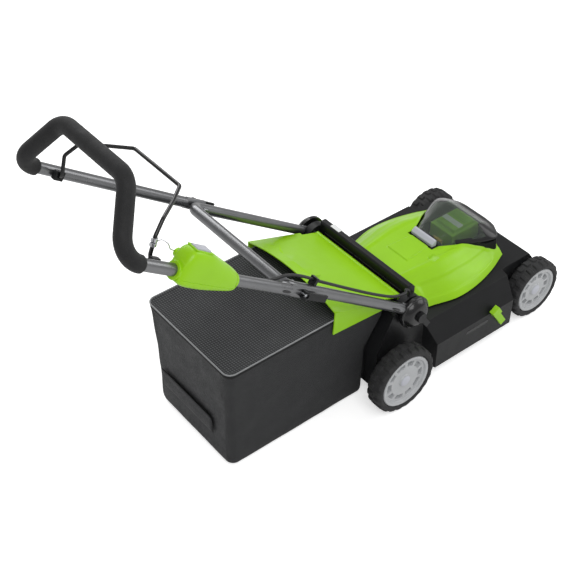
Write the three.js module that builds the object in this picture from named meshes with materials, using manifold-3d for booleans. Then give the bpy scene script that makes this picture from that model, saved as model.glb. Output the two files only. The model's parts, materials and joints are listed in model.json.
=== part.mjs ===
// Cordless push lawn mower, millimetres, +X forward, +Y left, +Z up, standing on z = 0.
import * as THREE from 'three';
import { mergeVertices } from 'three/addons/utils/BufferGeometryUtils.js';
import Module from 'manifold-3d';

const wasm = await Module();
wasm.setup();

// ---------------------------------------------------------------- driving sizes
const GAP = 0.3; // running or seating clearance between two pieces
const ROUND = 20; // facets on a wheel
const SMALL = 12; // facets on a pin or a bolt

// wheels and the axles that carry them
const REAR_RADIUS = 90;
const REAR_RIM = 72;
const REAR_OUTER = 250; // outer face of a rear wheel from the middle
const FRONT_RADIUS = 82;
const FRONT_RIM = 64;
const FRONT_OUTER = 212;
const WHEEL_WIDTH = 46;
const WHEELBASE = 493;
const AXLE_R = 6;
const CRANK_LENGTH = 40;
const CRANK_ANGLE = THREE.MathUtils.degToRad(19.7); // spindle above its shaft, second cutting height of five
const CRANK_ARM = 14; // arm that the link rod pulls
const CRANK_PLATE = 5;
const LINK_Y = 122;

// deck moulding
const DECK_WALL = 4;
const SKIRT_LOW = 34;
const SKIRT_TOP = 112;
const SKIRT_HALF = 219;
const SHELF_Z = 166;
const SHELF_HALF = 182;
const REAR_HALF = 180;
const NOSE_HALF = 158;
const DECK_REAR = -38;
const NECK_FRONT = 112; // the deck is narrow between the rear wheels up to here
const SKIRT_FRONT = 392;
const NOSE_X = 550;
const MOUTH_HALF = 118;
const MOUTH_BEND = 150; // the mouth leans forward above this height
const MOUTH_LEAN = 0.5; // forward run for each unit of rise
const HUMP_Z = 246; // roof of the grass tunnel under the flap
const HUMP_FRONT = 94;
const TOWER_IN = 160;

// handle geometry: pivot on the deck, fold joint, grip
const PIVOT_X = 61;
const PIVOT_Z = 240;
const HANDLE_SLOPE = THREE.MathUtils.degToRad(36);
const LOWER_LENGTH = 415; // pivot to fold joint
const UPPER_LENGTH = 500; // fold joint to grip corner
const TUBE_R = 12.5;
const TONGUE = 8; // thickness of a flattened tube end
const FOLD_Y = 171; // lower tube at the fold joint
const UPPER_Y = 188; // upper tube
const GRIP_RISE = 125;
const GRIP_TOP_HALF = 111;
const FOAM_R = 17.5;
const FOAM_START = 449;
const CROSSBAR_AT = 34; // the lower tube's cross bar, beyond the fold joint
const CAP_R = 42;
const CAP_DEPTH = 25;
const BOLT_R = 5;

// bail, switch box and cable
const BAIL_R = 4;
const BAIL_AT = 408;
const BAIL_Y = 160;
const BOX_START = 188;
const BOX_END = 366;
const BOX_HALF = 25;
const BOX_SPLIT = -8;
const BOX_WALL = 3;
const CABLE_R = 3.5;

// transverse bar and rear flap
const BAR = { rear: 68, front: 92, low: 254, top: 290 };
const FLAP_HINGE_X = 52;
const FLAP_HINGE_Z = 262;
const FLAP_REAR = -155;
const FLAP_HALF = 161;
const FLAP_SIDE_Z = 335; // height of the flap's rear corners
const FLAP_CROWN = 26;
const FLAP_WALL = 3;
const FLAP_ROD_R = 3;
const CHEEK_DEEP = 20; // side cheek at the flap's hinge end

// grass bag
const BAG_REAR = -448;
const BAG_FRONT = -46;
const BAG_TOP = 313;
const BAG_LOW = 20;
const BAG_BEND = 242;
const BAG_TOP_HALF = 156;
const BAG_LOW_HALF = 142;
const BAG_WALL = 4;

// cutting gear and electrics
const MOTOR_X = 247;
const MOTOR_R = 50;
const MOTOR_LOW = 98;
const MOTOR_TOP = 206;
const SHAFT_R = 7;
const BLADE_RADIUS = 205;
const BLADE_Z = 39;
const BLADE_THICK = 3;

// top cover, battery bay and lid
const COVER_WALL = 3;
const COVER_REAR = HUMP_FRONT + 3;
const COVER_FRONT = 446;
const COVER_TOP = 226;
const COVER_EDGE = SHELF_Z + GAP + COVER_WALL; // the cover's rim sits on the deck's shelf
const LID_REAR = 284;
const LID_FRONT = 462;
const LID_TOP = 252;
const LID_EDGE = 224;
const LID_WALL = 2.5;
const TRAY_WALL = 3;
const PULL_DEPTH = 16;

// ---------------------------------------------------------------- colours
const finish = (color, roughness, metalness = 0) => () =>
  new THREE.MeshStandardMaterial({ color, roughness, metalness });
const green = finish(0x93cd24, 0.38);
const black = finish(0x222325, 0.5);
const rubber = finish(0x1b1b1c, 0.85);
const rimGrey = finish(0xa6a8aa, 0.45);
const steel = finish(0x8d9093, 0.3, 0.9);
const zinc = finish(0xb9bcc0, 0.3, 0.9);
const foam = finish(0x3a3b3d, 0.9);
const fabric = finish(0x3c3e40, 0.95);
const paleGrey = finish(0xb4b6bc, 0.45);
const smoke = finish(0x2a2e2a, 0.15);
const yellow = finish(0xe8c020, 0.5);

// ---------------------------------------------------------------- solid helpers
const V = (x, y, z) => new THREE.Vector3(x, y, z);

function toSolid(geometry) {
  const bare = geometry.index ? geometry.toNonIndexed() : geometry.clone();
  bare.deleteAttribute('normal');
  bare.deleteAttribute('uv');
  const welded = mergeVertices(bare, 1e-4);
  return new wasm.Manifold(new wasm.Mesh({
    numProp: 3,
    vertProperties: new Float32Array(welded.attributes.position.array),
    triVerts: new Uint32Array(welded.index.array),
  }));
}

function toGeometry(solid) {
  const mesh = solid.getMesh();
  const geometry = new THREE.BufferGeometry();
  geometry.setAttribute('position', new THREE.BufferAttribute(mesh.vertProperties, 3));
  geometry.setIndex(new THREE.BufferAttribute(mesh.triVerts, 1));
  geometry.computeVertexNormals();
  return geometry;
}

const joined = (...parts) => toGeometry(parts.map(toSolid).reduce((a, b) => a.add(b)));
const shared = (...parts) => toGeometry(parts.map(toSolid).reduce((a, b) => a.intersect(b)));
const less = (body, ...cutters) =>
  toGeometry(cutters.map(toSolid).reduce((a, b) => a.subtract(b), toSolid(body)));

function box(x0, x1, y0, y1, z0, z1) {
  const geometry = new THREE.BoxGeometry(x1 - x0, y1 - y0, z1 - z0);
  return geometry.translate((x0 + x1) / 2, (y0 + y1) / 2, (z0 + z1) / 2);
}

function rod(from, to, radius, sides = SMALL) {
  const along = to.clone().sub(from);
  const geometry = new THREE.CylinderGeometry(radius, radius, along.length(), sides);
  geometry.applyQuaternion(new THREE.Quaternion().setFromUnitVectors(V(0, 1, 0), along.normalize()));
  const middle = from.clone().add(to).multiplyScalar(0.5);
  return geometry.translate(middle.x, middle.y, middle.z);
}

const pinY = (x, z, y0, y1, radius, sides = SMALL) => rod(V(x, y0, z), V(x, y1, z), radius, sides);

const outline = (points) => new THREE.Shape(points.map(([a, b]) => new THREE.Vector2(a, b)));

function extrude(points, depth) {
  return new THREE.ExtrudeGeometry(outline(points), { depth, bevelEnabled: false, curveSegments: 6 });
}

// an outline in x and z, extruded from y0 to y1
const sideCut = (points, y0, y1) => extrude(points, y1 - y0).rotateX(Math.PI / 2).translate(0, y1, 0);

// an outline in y and z, extruded from x0 to x1
function frontCut(points, x0, x1) {
  const turn = new THREE.Matrix4().makeBasis(V(0, 1, 0), V(0, 0, 1), V(1, 0, 0));
  return extrude(points, x1 - x0).applyMatrix4(turn).translate(x0, 0, 0);
}

// an outline in x and y, extruded from z0 to z1
const planCut = (points, z0, z1) => extrude(points, z1 - z0).translate(0, 0, z0);

const mirrorY = (half) => [...half, ...half.slice().reverse().map(([x, y]) => [x, -y])];

const mirrorX = (half) => [...half, ...half.slice().reverse().map(([y, z]) => [-y, z])];

// a ring of [radius, height] points turned about +Y
function turned(profile, sides) {
  const points = [...profile, profile[0]].map(([r, h]) => new THREE.Vector2(r, h));
  const geometry = new THREE.LatheGeometry(points, sides);
  return geometry;
}

// a path through fixed stations, mitred at each
class Route extends THREE.Curve {
  constructor(stations) {
    super();
    this.stations = stations;
  }

  getUtoTmapping(u) {
    return u;
  }

  getPoint(t) {
    const place = Math.min(Math.max(t, 0), 1) * (this.stations.length - 1);
    const index = Math.min(Math.floor(place), this.stations.length - 2);
    return this.stations[index].clone().lerp(this.stations[index + 1], place - index);
  }

  getTangent(t) {
    const last = this.stations.length - 1;
    const index = Math.round(t * last);
    const tangent = V(0, 0, 0);
    if (index > 0) tangent.add(this.stations[index].clone().sub(this.stations[index - 1]).normalize());
    if (index < last) tangent.add(this.stations[index + 1].clone().sub(this.stations[index]).normalize());
    return tangent.normalize();
  }
}

// corner points rounded with arcs of one radius
function rounded(corners, radius, arcSteps = 5) {
  const stations = [corners[0]];
  for (let i = 1; i < corners.length - 1; i += 1) {
    const back = corners[i - 1].clone().sub(corners[i]).normalize();
    const ahead = corners[i + 1].clone().sub(corners[i]).normalize();
    const half = back.angleTo(ahead) / 2;
    const centre = corners[i].clone().addScaledVector(back.clone().add(ahead).normalize(), radius / Math.sin(half));
    const first = corners[i].clone().addScaledVector(back, radius / Math.tan(half)).sub(centre);
    const second = corners[i].clone().addScaledVector(ahead, radius / Math.tan(half)).sub(centre);
    const sweep = first.angleTo(second);
    for (let k = 0; k <= arcSteps; k += 1) {
      const f = k / arcSteps;
      const spoke = first.clone().multiplyScalar(Math.sin((1 - f) * sweep) / Math.sin(sweep));
      stations.push(spoke.addScaledVector(second, Math.sin(f * sweep) / Math.sin(sweep)).add(centre));
    }
  }
  stations.push(corners[corners.length - 1]);
  return stations;
}

function circle(radius, sides) {
  const shape = new THREE.Shape();
  for (let i = 0; i < sides; i += 1) {
    const angle = (2 * Math.PI * i) / sides;
    const point = [radius * Math.cos(angle), radius * Math.sin(angle)];
    if (i === 0) shape.moveTo(...point);
    else shape.lineTo(...point);
  }
  shape.closePath();
  return shape;
}

function tube(stations, radius, sides = 12) {
  return new THREE.ExtrudeGeometry(circle(radius, sides), {
    steps: stations.length - 1,
    extrudePath: new Route(stations),
    bevelEnabled: false,
  });
}

// a shell under the surface point(u, v), wall thick, closed all round
function shell(point, across, along, wall) {
  const positions = [];
  const index = [];
  const row = along + 1;
  const layer = (across + 1) * row;
  for (const drop of [0, wall]) {
    for (let i = 0; i <= across; i += 1) {
      for (let j = 0; j <= along; j += 1) {
        const p = point(i / across, j / along);
        positions.push(p.x, p.y, p.z - drop);
      }
    }
  }
  const quad = (a, b, c, d) => index.push(a, b, c, a, c, d);
  for (let i = 0; i < across; i += 1) {
    for (let j = 0; j < along; j += 1) {
      const a = i * row + j;
      quad(a, a + row, a + row + 1, a + 1);
      quad(a + layer, a + layer + 1, a + layer + row + 1, a + layer + row);
    }
  }
  for (let i = 0; i < across; i += 1) {
    const a = i * row;
    const b = a + along;
    quad(a, a + layer, a + row + layer, a + row);
    quad(b, b + row, b + row + layer, b + layer);
  }
  for (let j = 0; j < along; j += 1) {
    const b = across * row + j;
    quad(j, j + 1, j + 1 + layer, j + layer);
    quad(b, b + layer, b + 1 + layer, b + 1);
  }
  const geometry = new THREE.BufferGeometry();
  geometry.setAttribute('position', new THREE.Float32BufferAttribute(positions, 3));
  geometry.setIndex(index);
  geometry.computeVertexNormals();
  return geometry;
}

// a value read from a smooth curve through [x, value] points
function along(points) {
  const curve = new THREE.SplineCurve(points.map(([x, y]) => new THREE.Vector2(x, y)));
  const samples = curve.getPoints(60);
  return (x) => {
    const next = samples.findIndex((p) => p.x >= x);
    if (next <= 0) return next === 0 ? samples[0].y : samples[samples.length - 1].y;
    const [a, b] = [samples[next - 1], samples[next]];
    return a.y + ((b.y - a.y) * (x - a.x)) / (b.x - a.x);
  };
}

// ---------------------------------------------------------------- the mower
const mower = new THREE.Group();

function add(name, geometry, material) {
  const mesh = new THREE.Mesh(geometry, material());
  mesh.name = name;
  mower.add(mesh);
}

const SIDES = [['left', 1], ['right', -1]];
const span = (side, a, b) => (side > 0 ? [a, b] : [-b, -a]);

// --- wheels: tyre, rim and hub cap; flat facets stand on the ground
function wheelPieces(name, side, x, outerRadius, rimRadius, outerFace) {
  const stretch = 1 / Math.cos(Math.PI / ROUND);
  const middle = side * (outerFace - WHEEL_WIDTH / 2);
  const half = WHEEL_WIDTH / 2;
  const place = (geometry) => {
    geometry.rotateY(Math.PI / ROUND);
    if (side < 0) geometry.rotateZ(Math.PI);
    return geometry.translate(x, middle, outerRadius);
  };
  const ring = (profile) => place(turned(profile.map(([r, h]) => [r * stretch, h]), ROUND));
  const seat = rimRadius - GAP;
  add(`${name}_tyre`, ring([
    [rimRadius, -half + 3], [rimRadius + 5, -half], [outerRadius - 4, -half], [outerRadius, -half + 5],
    [outerRadius, half - 5], [outerRadius - 4, half], [rimRadius + 5, half], [rimRadius, half - 2],
  ]), rubber);
  const hubR = 16;
  const bore = AXLE_R + GAP;
  add(`${name}_rim`, ring([
    [bore, -half + 2], [hubR, -half + 2], [hubR, 2], [seat - 9, 2], [seat - 5, -half + 4],
    [seat, -half + 4], [seat, half - 1], [seat - 5, half - 1], [seat - 9, half - 8],
    [hubR, half - 9], [hubR, half - 5], [bore, half - 5],
  ]), rimGrey);
  add(`${name}_hub_cap`, place(new THREE.CylinderGeometry(hubR - 4, hubR - 1, 4, SMALL)
    .translate(0, half - 5 + GAP + 2, 0)), paleGrey);
}

for (const [label, side] of SIDES) {
  wheelPieces(`rear_${label}`, side, 0, REAR_RADIUS, REAR_RIM, REAR_OUTER);
  wheelPieces(`front_${label}`, side, WHEELBASE, FRONT_RADIUS, FRONT_RIM, FRONT_OUTER);
}

// --- cranked axles: the spindles trail behind the shaft, which turns in the deck
const CRANK_BACK = CRANK_LENGTH * Math.cos(CRANK_ANGLE);
const CRANK_DROP = CRANK_LENGTH * Math.sin(CRANK_ANGLE); // the shaft lies this far under the spindle
const LINK_PIN_R = 3;
const LINK_PIN_LENGTH = 9;

function axle(wheelX, wheelZ, shaftHalf, outerFace) {
  const x = wheelX + CRANK_BACK;
  const z = wheelZ - CRANK_DROP;
  const half = CRANK_PLATE / 2;
  const parts = [pinY(x, z, -shaftHalf, shaftHalf, AXLE_R)];
  for (const [, side] of SIDES) {
    const plateY = side * (shaftHalf - half);
    const reach = CRANK_LENGTH + 2 * AXLE_R;
    const plate = box(-reach + AXLE_R, AXLE_R, -half, half, -AXLE_R, AXLE_R)
      .rotateY(CRANK_ANGLE).translate(x, plateY, z);
    parts.push(plate, pinY(wheelX, wheelZ, plateY, side * (outerFace - 8), AXLE_R));
  }
  const inner = -LINK_Y - half;
  const wide = LINK_PIN_R + 2;
  parts.push(box(x - wide, x + wide, inner, inner + CRANK_PLATE, z, z + CRANK_ARM + wide));
  parts.push(pinY(x, z + CRANK_ARM, inner + half, inner + half + LINK_PIN_LENGTH, LINK_PIN_R));
  return joined(...parts);
}

const REAR_SHAFT_HALF = REAR_HALF + 14;
const FRONT_SHAFT_HALF = NOSE_HALF + 6;
add('rear_axle', axle(0, REAR_RADIUS, REAR_SHAFT_HALF, REAR_OUTER), steel);
add('front_axle', axle(WHEELBASE, FRONT_RADIUS, FRONT_SHAFT_HALF, FRONT_OUTER), steel);

// --- link rod that turns both axles together, with a knee that clears the rear shaft
const linkRear = V(CRANK_BACK, -LINK_Y + 6, REAR_RADIUS - CRANK_DROP + CRANK_ARM);
const linkFront = V(WHEELBASE + CRANK_BACK, -LINK_Y + 6, FRONT_RADIUS - CRANK_DROP + CRANK_ARM);
const linkKnee = linkRear.clone().add(V(4, 0, 9));
const eye = (p) => pinY(p.x, p.z, p.y - 2, p.y + 2, LINK_PIN_R + 3);
const eyeBore = (p) => pinY(p.x, p.z, p.y - 5, p.y + 5, LINK_PIN_R + GAP);
add('height_link_rod', less(joined(tube([linkRear, linkKnee, linkFront], 2.5, 8), eye(linkRear), eye(linkFront)),
  eyeBore(linkRear), eyeBore(linkFront)), steel);

// --- height lever outside the right skirt, its shaft through the skirt wall
const LEVER_X = 352;
const LEVER_Z = 68;
const LEVER_LENGTH = 72;
const LEVER_LEAN = THREE.MathUtils.degToRad(33);
const leverSkin = -SKIRT_HALF - GAP;
const leverArm = box(-9, 9, leverSkin - 7, leverSkin, -9, LEVER_LENGTH - 18)
  .rotateY(-LEVER_LEAN).translate(LEVER_X, 0, LEVER_Z);
const leverTip = box(-12, 12, leverSkin - 15, leverSkin - 1, LEVER_LENGTH - 24, LEVER_LENGTH)
  .rotateY(-LEVER_LEAN).translate(LEVER_X, 0, LEVER_Z);
add('height_lever', joined(leverArm, leverTip,
  pinY(LEVER_X, LEVER_Z, leverSkin - 3, -SKIRT_HALF + DECK_WALL + 8, 5)), green);

// --- deck: a hollow moulding, open below, with a mouth behind and towers for the handle
const humpRear = DECK_REAR + (HUMP_Z - MOUTH_BEND) * MOUTH_LEAN;

function deckBody(inset) {
  const low = inset > 0 ? SKIRT_LOW - 20 : SKIRT_LOW;
  const plan = planCut(mirrorY([
    [NECK_FRONT - 30, REAR_HALF - inset], [NECK_FRONT + inset, REAR_HALF - inset],
    [NECK_FRONT + 16 + inset, SKIRT_HALF - inset], [SKIRT_FRONT - inset, SKIRT_HALF - inset],
    [SKIRT_FRONT + 12 - inset, NOSE_HALF - inset], [NOSE_X - 22, NOSE_HALF - inset],
    [NOSE_X - inset, NOSE_HALF - 40],
  ]), low, SHELF_Z);
  const side = sideCut([
    [DECK_REAR, low], [NOSE_X - 10 - inset, low], [NOSE_X - inset, 66], [NOSE_X - 5 - inset, SKIRT_TOP],
    [NOSE_X - 44 - inset, SHELF_Z - inset], [DECK_REAR, SHELF_Z - inset],
  ], -SKIRT_HALF - 1, SKIRT_HALF + 1);
  const front = frontCut(mirrorX([
    [SKIRT_HALF - inset, low], [SKIRT_HALF - inset, SKIRT_TOP], [SHELF_HALF - inset, SHELF_Z - inset],
  ]), DECK_REAR, NOSE_X + 1);
  const past = inset > 0 ? DECK_WALL : 0; // the hollow runs out through the back
  const rear = sideCut([
    [DECK_REAR - past, low], [NECK_FRONT + 6, low], [NECK_FRONT + 6, SHELF_Z - inset],
    [HUMP_FRONT - inset, SHELF_Z - inset], [HUMP_FRONT - inset, HUMP_Z - inset],
    [humpRear - past, HUMP_Z - inset], [DECK_REAR - past, MOUTH_BEND],
  ], -REAR_HALF + inset, REAR_HALF - inset);
  return joined(shared(plan, side, front), rear);
}

// a wall across the back with the mouth in it
const mouthWall = less(sideCut([
  [DECK_REAR, SKIRT_LOW], [DECK_REAR + DECK_WALL, SKIRT_LOW], [DECK_REAR + DECK_WALL, MOUTH_BEND],
  [humpRear + DECK_WALL, HUMP_Z], [humpRear, HUMP_Z], [DECK_REAR, MOUTH_BEND],
], -REAR_HALF + 1, REAR_HALF - 1),
box(DECK_REAR - 5, 40, -MOUTH_HALF, MOUTH_HALF, 74, HUMP_Z - 14));

function tower(side) {
  const [y0, y1] = span(side, TOWER_IN, REAR_HALF);
  const arc = [];
  for (let k = 0; k <= 8; k += 1) {
    const angle = (Math.PI * k) / 8;
    arc.push([PIVOT_X + 37 * Math.cos(angle), PIVOT_Z + 37 * Math.sin(angle)]);
  }
  return sideCut([[PIVOT_X - 37, HUMP_Z - 24], [PIVOT_X + 33, HUMP_Z - 24], ...arc], y0, y1);
}

const MOTOR_HOLE = MOTOR_R + 3;
const shaftZ = { rear: REAR_RADIUS - CRANK_DROP, front: FRONT_RADIUS - CRANK_DROP };
add('deck', less(
  joined(less(deckBody(0), deckBody(DECK_WALL)), mouthWall, tower(1), tower(-1)),
  rod(V(MOTOR_X, 0, SHELF_Z - 20), V(MOTOR_X, 0, SHELF_Z + 20), MOTOR_HOLE, 24),
  pinY(CRANK_BACK, shaftZ.rear, -REAR_HALF - 5, REAR_HALF + 5, AXLE_R + GAP),
  pinY(WHEELBASE + CRANK_BACK, shaftZ.front, -NOSE_HALF - 5, NOSE_HALF + 5, AXLE_R + GAP),
  pinY(LEVER_X, LEVER_Z, -SKIRT_HALF - 5, -SKIRT_HALF + 15, 5 + GAP),
  pinY(PIVOT_X, PIVOT_Z, -REAR_HALF - 5, -TOWER_IN + 12, BOLT_R + GAP),
  pinY(PIVOT_X, PIVOT_Z, TOWER_IN - 12, REAR_HALF + 5, BOLT_R + GAP),
  pinY(FLAP_HINGE_X, FLAP_HINGE_Z, -REAR_HALF + 6, REAR_HALF - 6, FLAP_ROD_R + GAP),
  ...SIDES.map(([, side]) => pinY(PIVOT_X, PIVOT_Z, side * (TOWER_IN - 12), side * TOWER_IN, 10 + GAP)),
), black);

// --- top cover: a crowned shell over the motor, cut away for the battery bay
const coverHalf = along([
  [COVER_REAR, 118], [170, 138], [240, 164], [311, 160], [382, 140], [COVER_FRONT, 118],
]);
const coverTop = along([[COVER_REAR, COVER_TOP - 2], [260, COVER_TOP + 2], [380, 220], [COVER_FRONT, 200]]);
const lidHalf = along([[LID_REAR, 42], [330, 66], [372, 88], [420, 106], [442, 98], [LID_FRONT, 66]]);

function coverPoint(u, v) {
  const x = THREE.MathUtils.lerp(COVER_FRONT, COVER_REAR, u);
  const w = 2 * v - 1;
  const fall = Math.max(0, (Math.abs(w) - 0.45) / 0.55);
  const z = coverTop(x) - (coverTop(x) - COVER_EDGE) * (0.62 * fall + 0.38 * fall ** 3);
  return V(x, -w * coverHalf(x), z);
}

function lidOutline(extra, from = LID_REAR) {
  const half = [];
  for (let i = 0; i <= 12; i += 1) {
    const x = THREE.MathUtils.lerp(from, LID_FRONT, i / 12);
    half.push([i === 12 ? x + extra : x - (i === 0 ? extra : 0), lidHalf(x) + extra]);
  }
  return mirrorY(half);
}

add('top_cover', less(shell(coverPoint, 9, 12, COVER_WALL),
  planCut(lidOutline(2, LID_REAR - PULL_DEPTH - 4), COVER_EDGE - 30, COVER_TOP + 40)), green);

// --- battery tray in the opening, battery, key
const TRAY_TOP = 216;
const TRAY_REAR = LID_REAR - PULL_DEPTH - 4;
const TRAY_STEP = MOTOR_X + MOTOR_R + 15; // in front of this the tray is deep, behind it clears the motor
const trayLow = SHELF_Z + GAP;
const trayRoof = MOTOR_TOP + 2;
const HINGE_X = LID_FRONT - 3;
const HINGE_Z = TRAY_TOP + 5.5;
const hingePost = ([, side]) => box(HINGE_X - 4, HINGE_X + 4, ...span(side, 51, 56), TRAY_TOP - 6, HINGE_Z + 3.5);
add('battery_tray', less(
  joined(planCut(lidOutline(1.4, TRAY_REAR), trayLow, TRAY_TOP), ...SIDES.map(hingePost)),
  box(TRAY_STEP + TRAY_WALL, HINGE_X - 6, -60, 60, trayLow + TRAY_WALL, TRAY_TOP + 5),
  planCut(lidOutline(1.4 - TRAY_WALL, TRAY_REAR + TRAY_WALL), trayRoof + TRAY_WALL, TRAY_TOP + 20)
    .applyMatrix4(new THREE.Matrix4().makeTranslation(-6, 0, 0)),
  box(TRAY_REAR - 20, TRAY_STEP, -120, 120, trayLow - 5, trayRoof),
  pinY(HINGE_X, HINGE_Z, -60, 60, 2 + GAP),
), black);
const packLow = trayLow + TRAY_WALL + GAP;
const packBody = box(338, 436, -40, 40, packLow, packLow + 60);
const packShoulder = box(350, 424, -32, 32, packLow + 59, packLow + 68);
add('battery_pack', joined(packBody, packShoulder), green);
add('safety_key', joined(box(321, 333, -8, 8, packLow, packLow + 24),
  box(323, 331, -14, 14, packLow + 23, packLow + 36)), yellow);

// --- smoked lid hinged at its front, with a grey finger pull along its rear edge
function lidPoint(u, v) {
  const x = THREE.MathUtils.lerp(LID_FRONT, LID_REAR, u);
  const w = 2 * v - 1;
  const front = THREE.MathUtils.smoothstep(x, LID_FRONT - 50, LID_FRONT);
  const ridge = LID_TOP - 8 * (1 - THREE.MathUtils.smoothstep(x, LID_REAR, LID_REAR + 60)) - 24 * front;
  const z = ridge - (ridge - LID_EDGE) * Math.abs(w) ** 3;
  return V(x, -w * lidHalf(x), z);
}

const lidSkin = shell(lidPoint, 8, 10, LID_WALL);
add('battery_lid', less(joined(lidSkin, pinY(HINGE_X, HINGE_Z, -50, 50, 5)),
  pinY(HINGE_X, HINGE_Z, -60, 60, 2 + GAP),
  ...SIDES.map(([, side]) => box(HINGE_X - 7, LID_FRONT + 5, ...span(side, 50, 57), TRAY_TOP, LID_TOP)),
), smoke);
add('lid_hinge_pin', pinY(HINGE_X, HINGE_Z, -55, 55, 2), steel);
const pullRear = LID_REAR - PULL_DEPTH;
add('lid_finger_pull', sideCut([
  [pullRear, LID_EDGE + 4], [LID_REAR - GAP, LID_EDGE + 4], [LID_REAR - GAP, LID_TOP - 8],
  [LID_REAR - 6, LID_TOP - 8], [pullRear, LID_EDGE + 12],
], -38, 38), paleGrey);

// --- motor, shaft, fan with blade carrier, blade and bolt
const ring = (profile, sides = 24) => turned(profile, sides).rotateX(Math.PI / 2);
add('motor', ring([
  [SHAFT_R + GAP, MOTOR_LOW], [MOTOR_R - 8, MOTOR_LOW], [MOTOR_R, MOTOR_LOW + 8], [MOTOR_R, SHELF_Z + GAP],
  [MOTOR_R + 12, SHELF_Z + GAP], [MOTOR_R + 12, SHELF_Z + 5], [MOTOR_R, SHELF_Z + 5], [MOTOR_R, MOTOR_TOP - 6],
  [MOTOR_R - 8, MOTOR_TOP], [SHAFT_R + GAP, MOTOR_TOP],
]).translate(MOTOR_X, 0, 0), zinc);
const CARRIER_LOW = BLADE_Z + BLADE_THICK + GAP;
const CARRIER_TOP = MOTOR_LOW - 14;
add('motor_shaft', rod(V(MOTOR_X, 0, CARRIER_LOW), V(MOTOR_X, 0, MOTOR_TOP - 4), SHAFT_R), steel);
const fins = [];
for (let k = 0; k < 8; k += 1) {
  fins.push(box(20, 70, -1.5, 1.5, CARRIER_LOW + 3, CARRIER_LOW + 16)
    .rotateZ((Math.PI * k) / 4).translate(MOTOR_X, 0, 0));
}
add('fan_and_blade_carrier', joined(ring([
  [SHAFT_R + GAP, CARRIER_LOW], [74, CARRIER_LOW], [74, CARRIER_LOW + 4], [22, CARRIER_LOW + 4],
  [16, CARRIER_TOP], [SHAFT_R + GAP, CARRIER_TOP],
]).translate(MOTOR_X, 0, 0), ...fins), black);
const bladeHalf = 24;
const bladeBar = box(-BLADE_RADIUS, BLADE_RADIUS, -bladeHalf, bladeHalf, BLADE_Z, BLADE_Z + BLADE_THICK);
const wing = (side) => box(-30, 30, -1.5, 1.5, 0, 16).rotateX(0.5)
  .translate(side * (BLADE_RADIUS - 36), side * -(bladeHalf - 3), BLADE_Z + 1);
add('blade', less(joined(bladeBar.clone(), wing(1), wing(-1)), rod(V(0, 0, 0), V(0, 0, 80), 5.3))
  .rotateZ(0.35).translate(MOTOR_X, 0, 0), steel);
add('blade_bolt', joined(rod(V(MOTOR_X, 0, BLADE_Z - GAP - 8), V(MOTOR_X, 0, BLADE_Z - GAP), 11, 6),
  rod(V(MOTOR_X, 0, BLADE_Z - GAP - 1), V(MOTOR_X, 0, CARRIER_LOW - GAP), 5)), zinc);
add('motor_controller', box(HUMP_FRONT + 22, HUMP_FRONT + 82, -60, 60, SHELF_Z + GAP, SHELF_Z + 34), black);

// --- transverse bar and rear flap with its hinge rod
const barEdge = TOWER_IN - GAP;
add('transverse_bar', sideCut([
  [BAR.rear, BAR.low], [BAR.front, BAR.low + 6], [BAR.front, BAR.top - 10], [BAR.front - 8, BAR.top],
  [BAR.rear + 4, BAR.top], [BAR.rear, BAR.top - 5],
], -barEdge, barEdge), black);

const flapRise = (FLAP_SIDE_Z - FLAP_HINGE_Z - 4) / (FLAP_HINGE_X - FLAP_REAR);
const flapBase = (x) => FLAP_HINGE_Z + 4 + (FLAP_HINGE_X - x) * flapRise;
function flapPoint(u, v) {
  const x = THREE.MathUtils.lerp(FLAP_HINGE_X, FLAP_REAR, u);
  const w = 2 * v - 1;
  return V(x, -w * FLAP_HALF, flapBase(x) + FLAP_CROWN * u ** 1.5 * (1 - w * w));
}
const cheek = ([, side]) => sideCut([
  [FLAP_REAR, flapBase(FLAP_REAR) - 1], [FLAP_REAR - 4, 272], [4, flapBase(4) - CHEEK_DEEP], [4, flapBase(4) - 1],
], ...span(side, FLAP_HALF - FLAP_WALL, FLAP_HALF));
const ribX = FLAP_REAR + 32;
const RIB_HALF = 112;
const ribTop = (y) => flapPoint((FLAP_HINGE_X - ribX) / (FLAP_HINGE_X - FLAP_REAR), (1 - y / FLAP_HALF) / 2).z;
const ribOutline = [[-RIB_HALF, flapBase(ribX) - 4], [RIB_HALF, flapBase(ribX) - 4]];
for (let y = RIB_HALF; y >= -RIB_HALF; y -= RIB_HALF / 4) ribOutline.push([y, ribTop(y) - FLAP_WALL / 2]);
const rib = frontCut(ribOutline, ribX, ribX + FLAP_WALL);
add('rear_flap', less(
  joined(shell(flapPoint, 6, 10, FLAP_WALL), ...SIDES.map(cheek), rib,
    pinY(FLAP_HINGE_X, FLAP_HINGE_Z, -TOWER_IN + 8, TOWER_IN - 8, 7)),
  pinY(FLAP_HINGE_X, FLAP_HINGE_Z, -TOWER_IN, TOWER_IN, FLAP_ROD_R + GAP),
  ...SIDES.map(([, side]) => box(4, 80, ...span(side, TOWER_IN - 8, FLAP_HALF + 5), FLAP_HINGE_Z - 20, 340)),
), green);
add('flap_hinge_rod', pinY(FLAP_HINGE_X, FLAP_HINGE_Z, -REAR_HALF + 7, REAR_HALF - 7, FLAP_ROD_R), steel);

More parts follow.
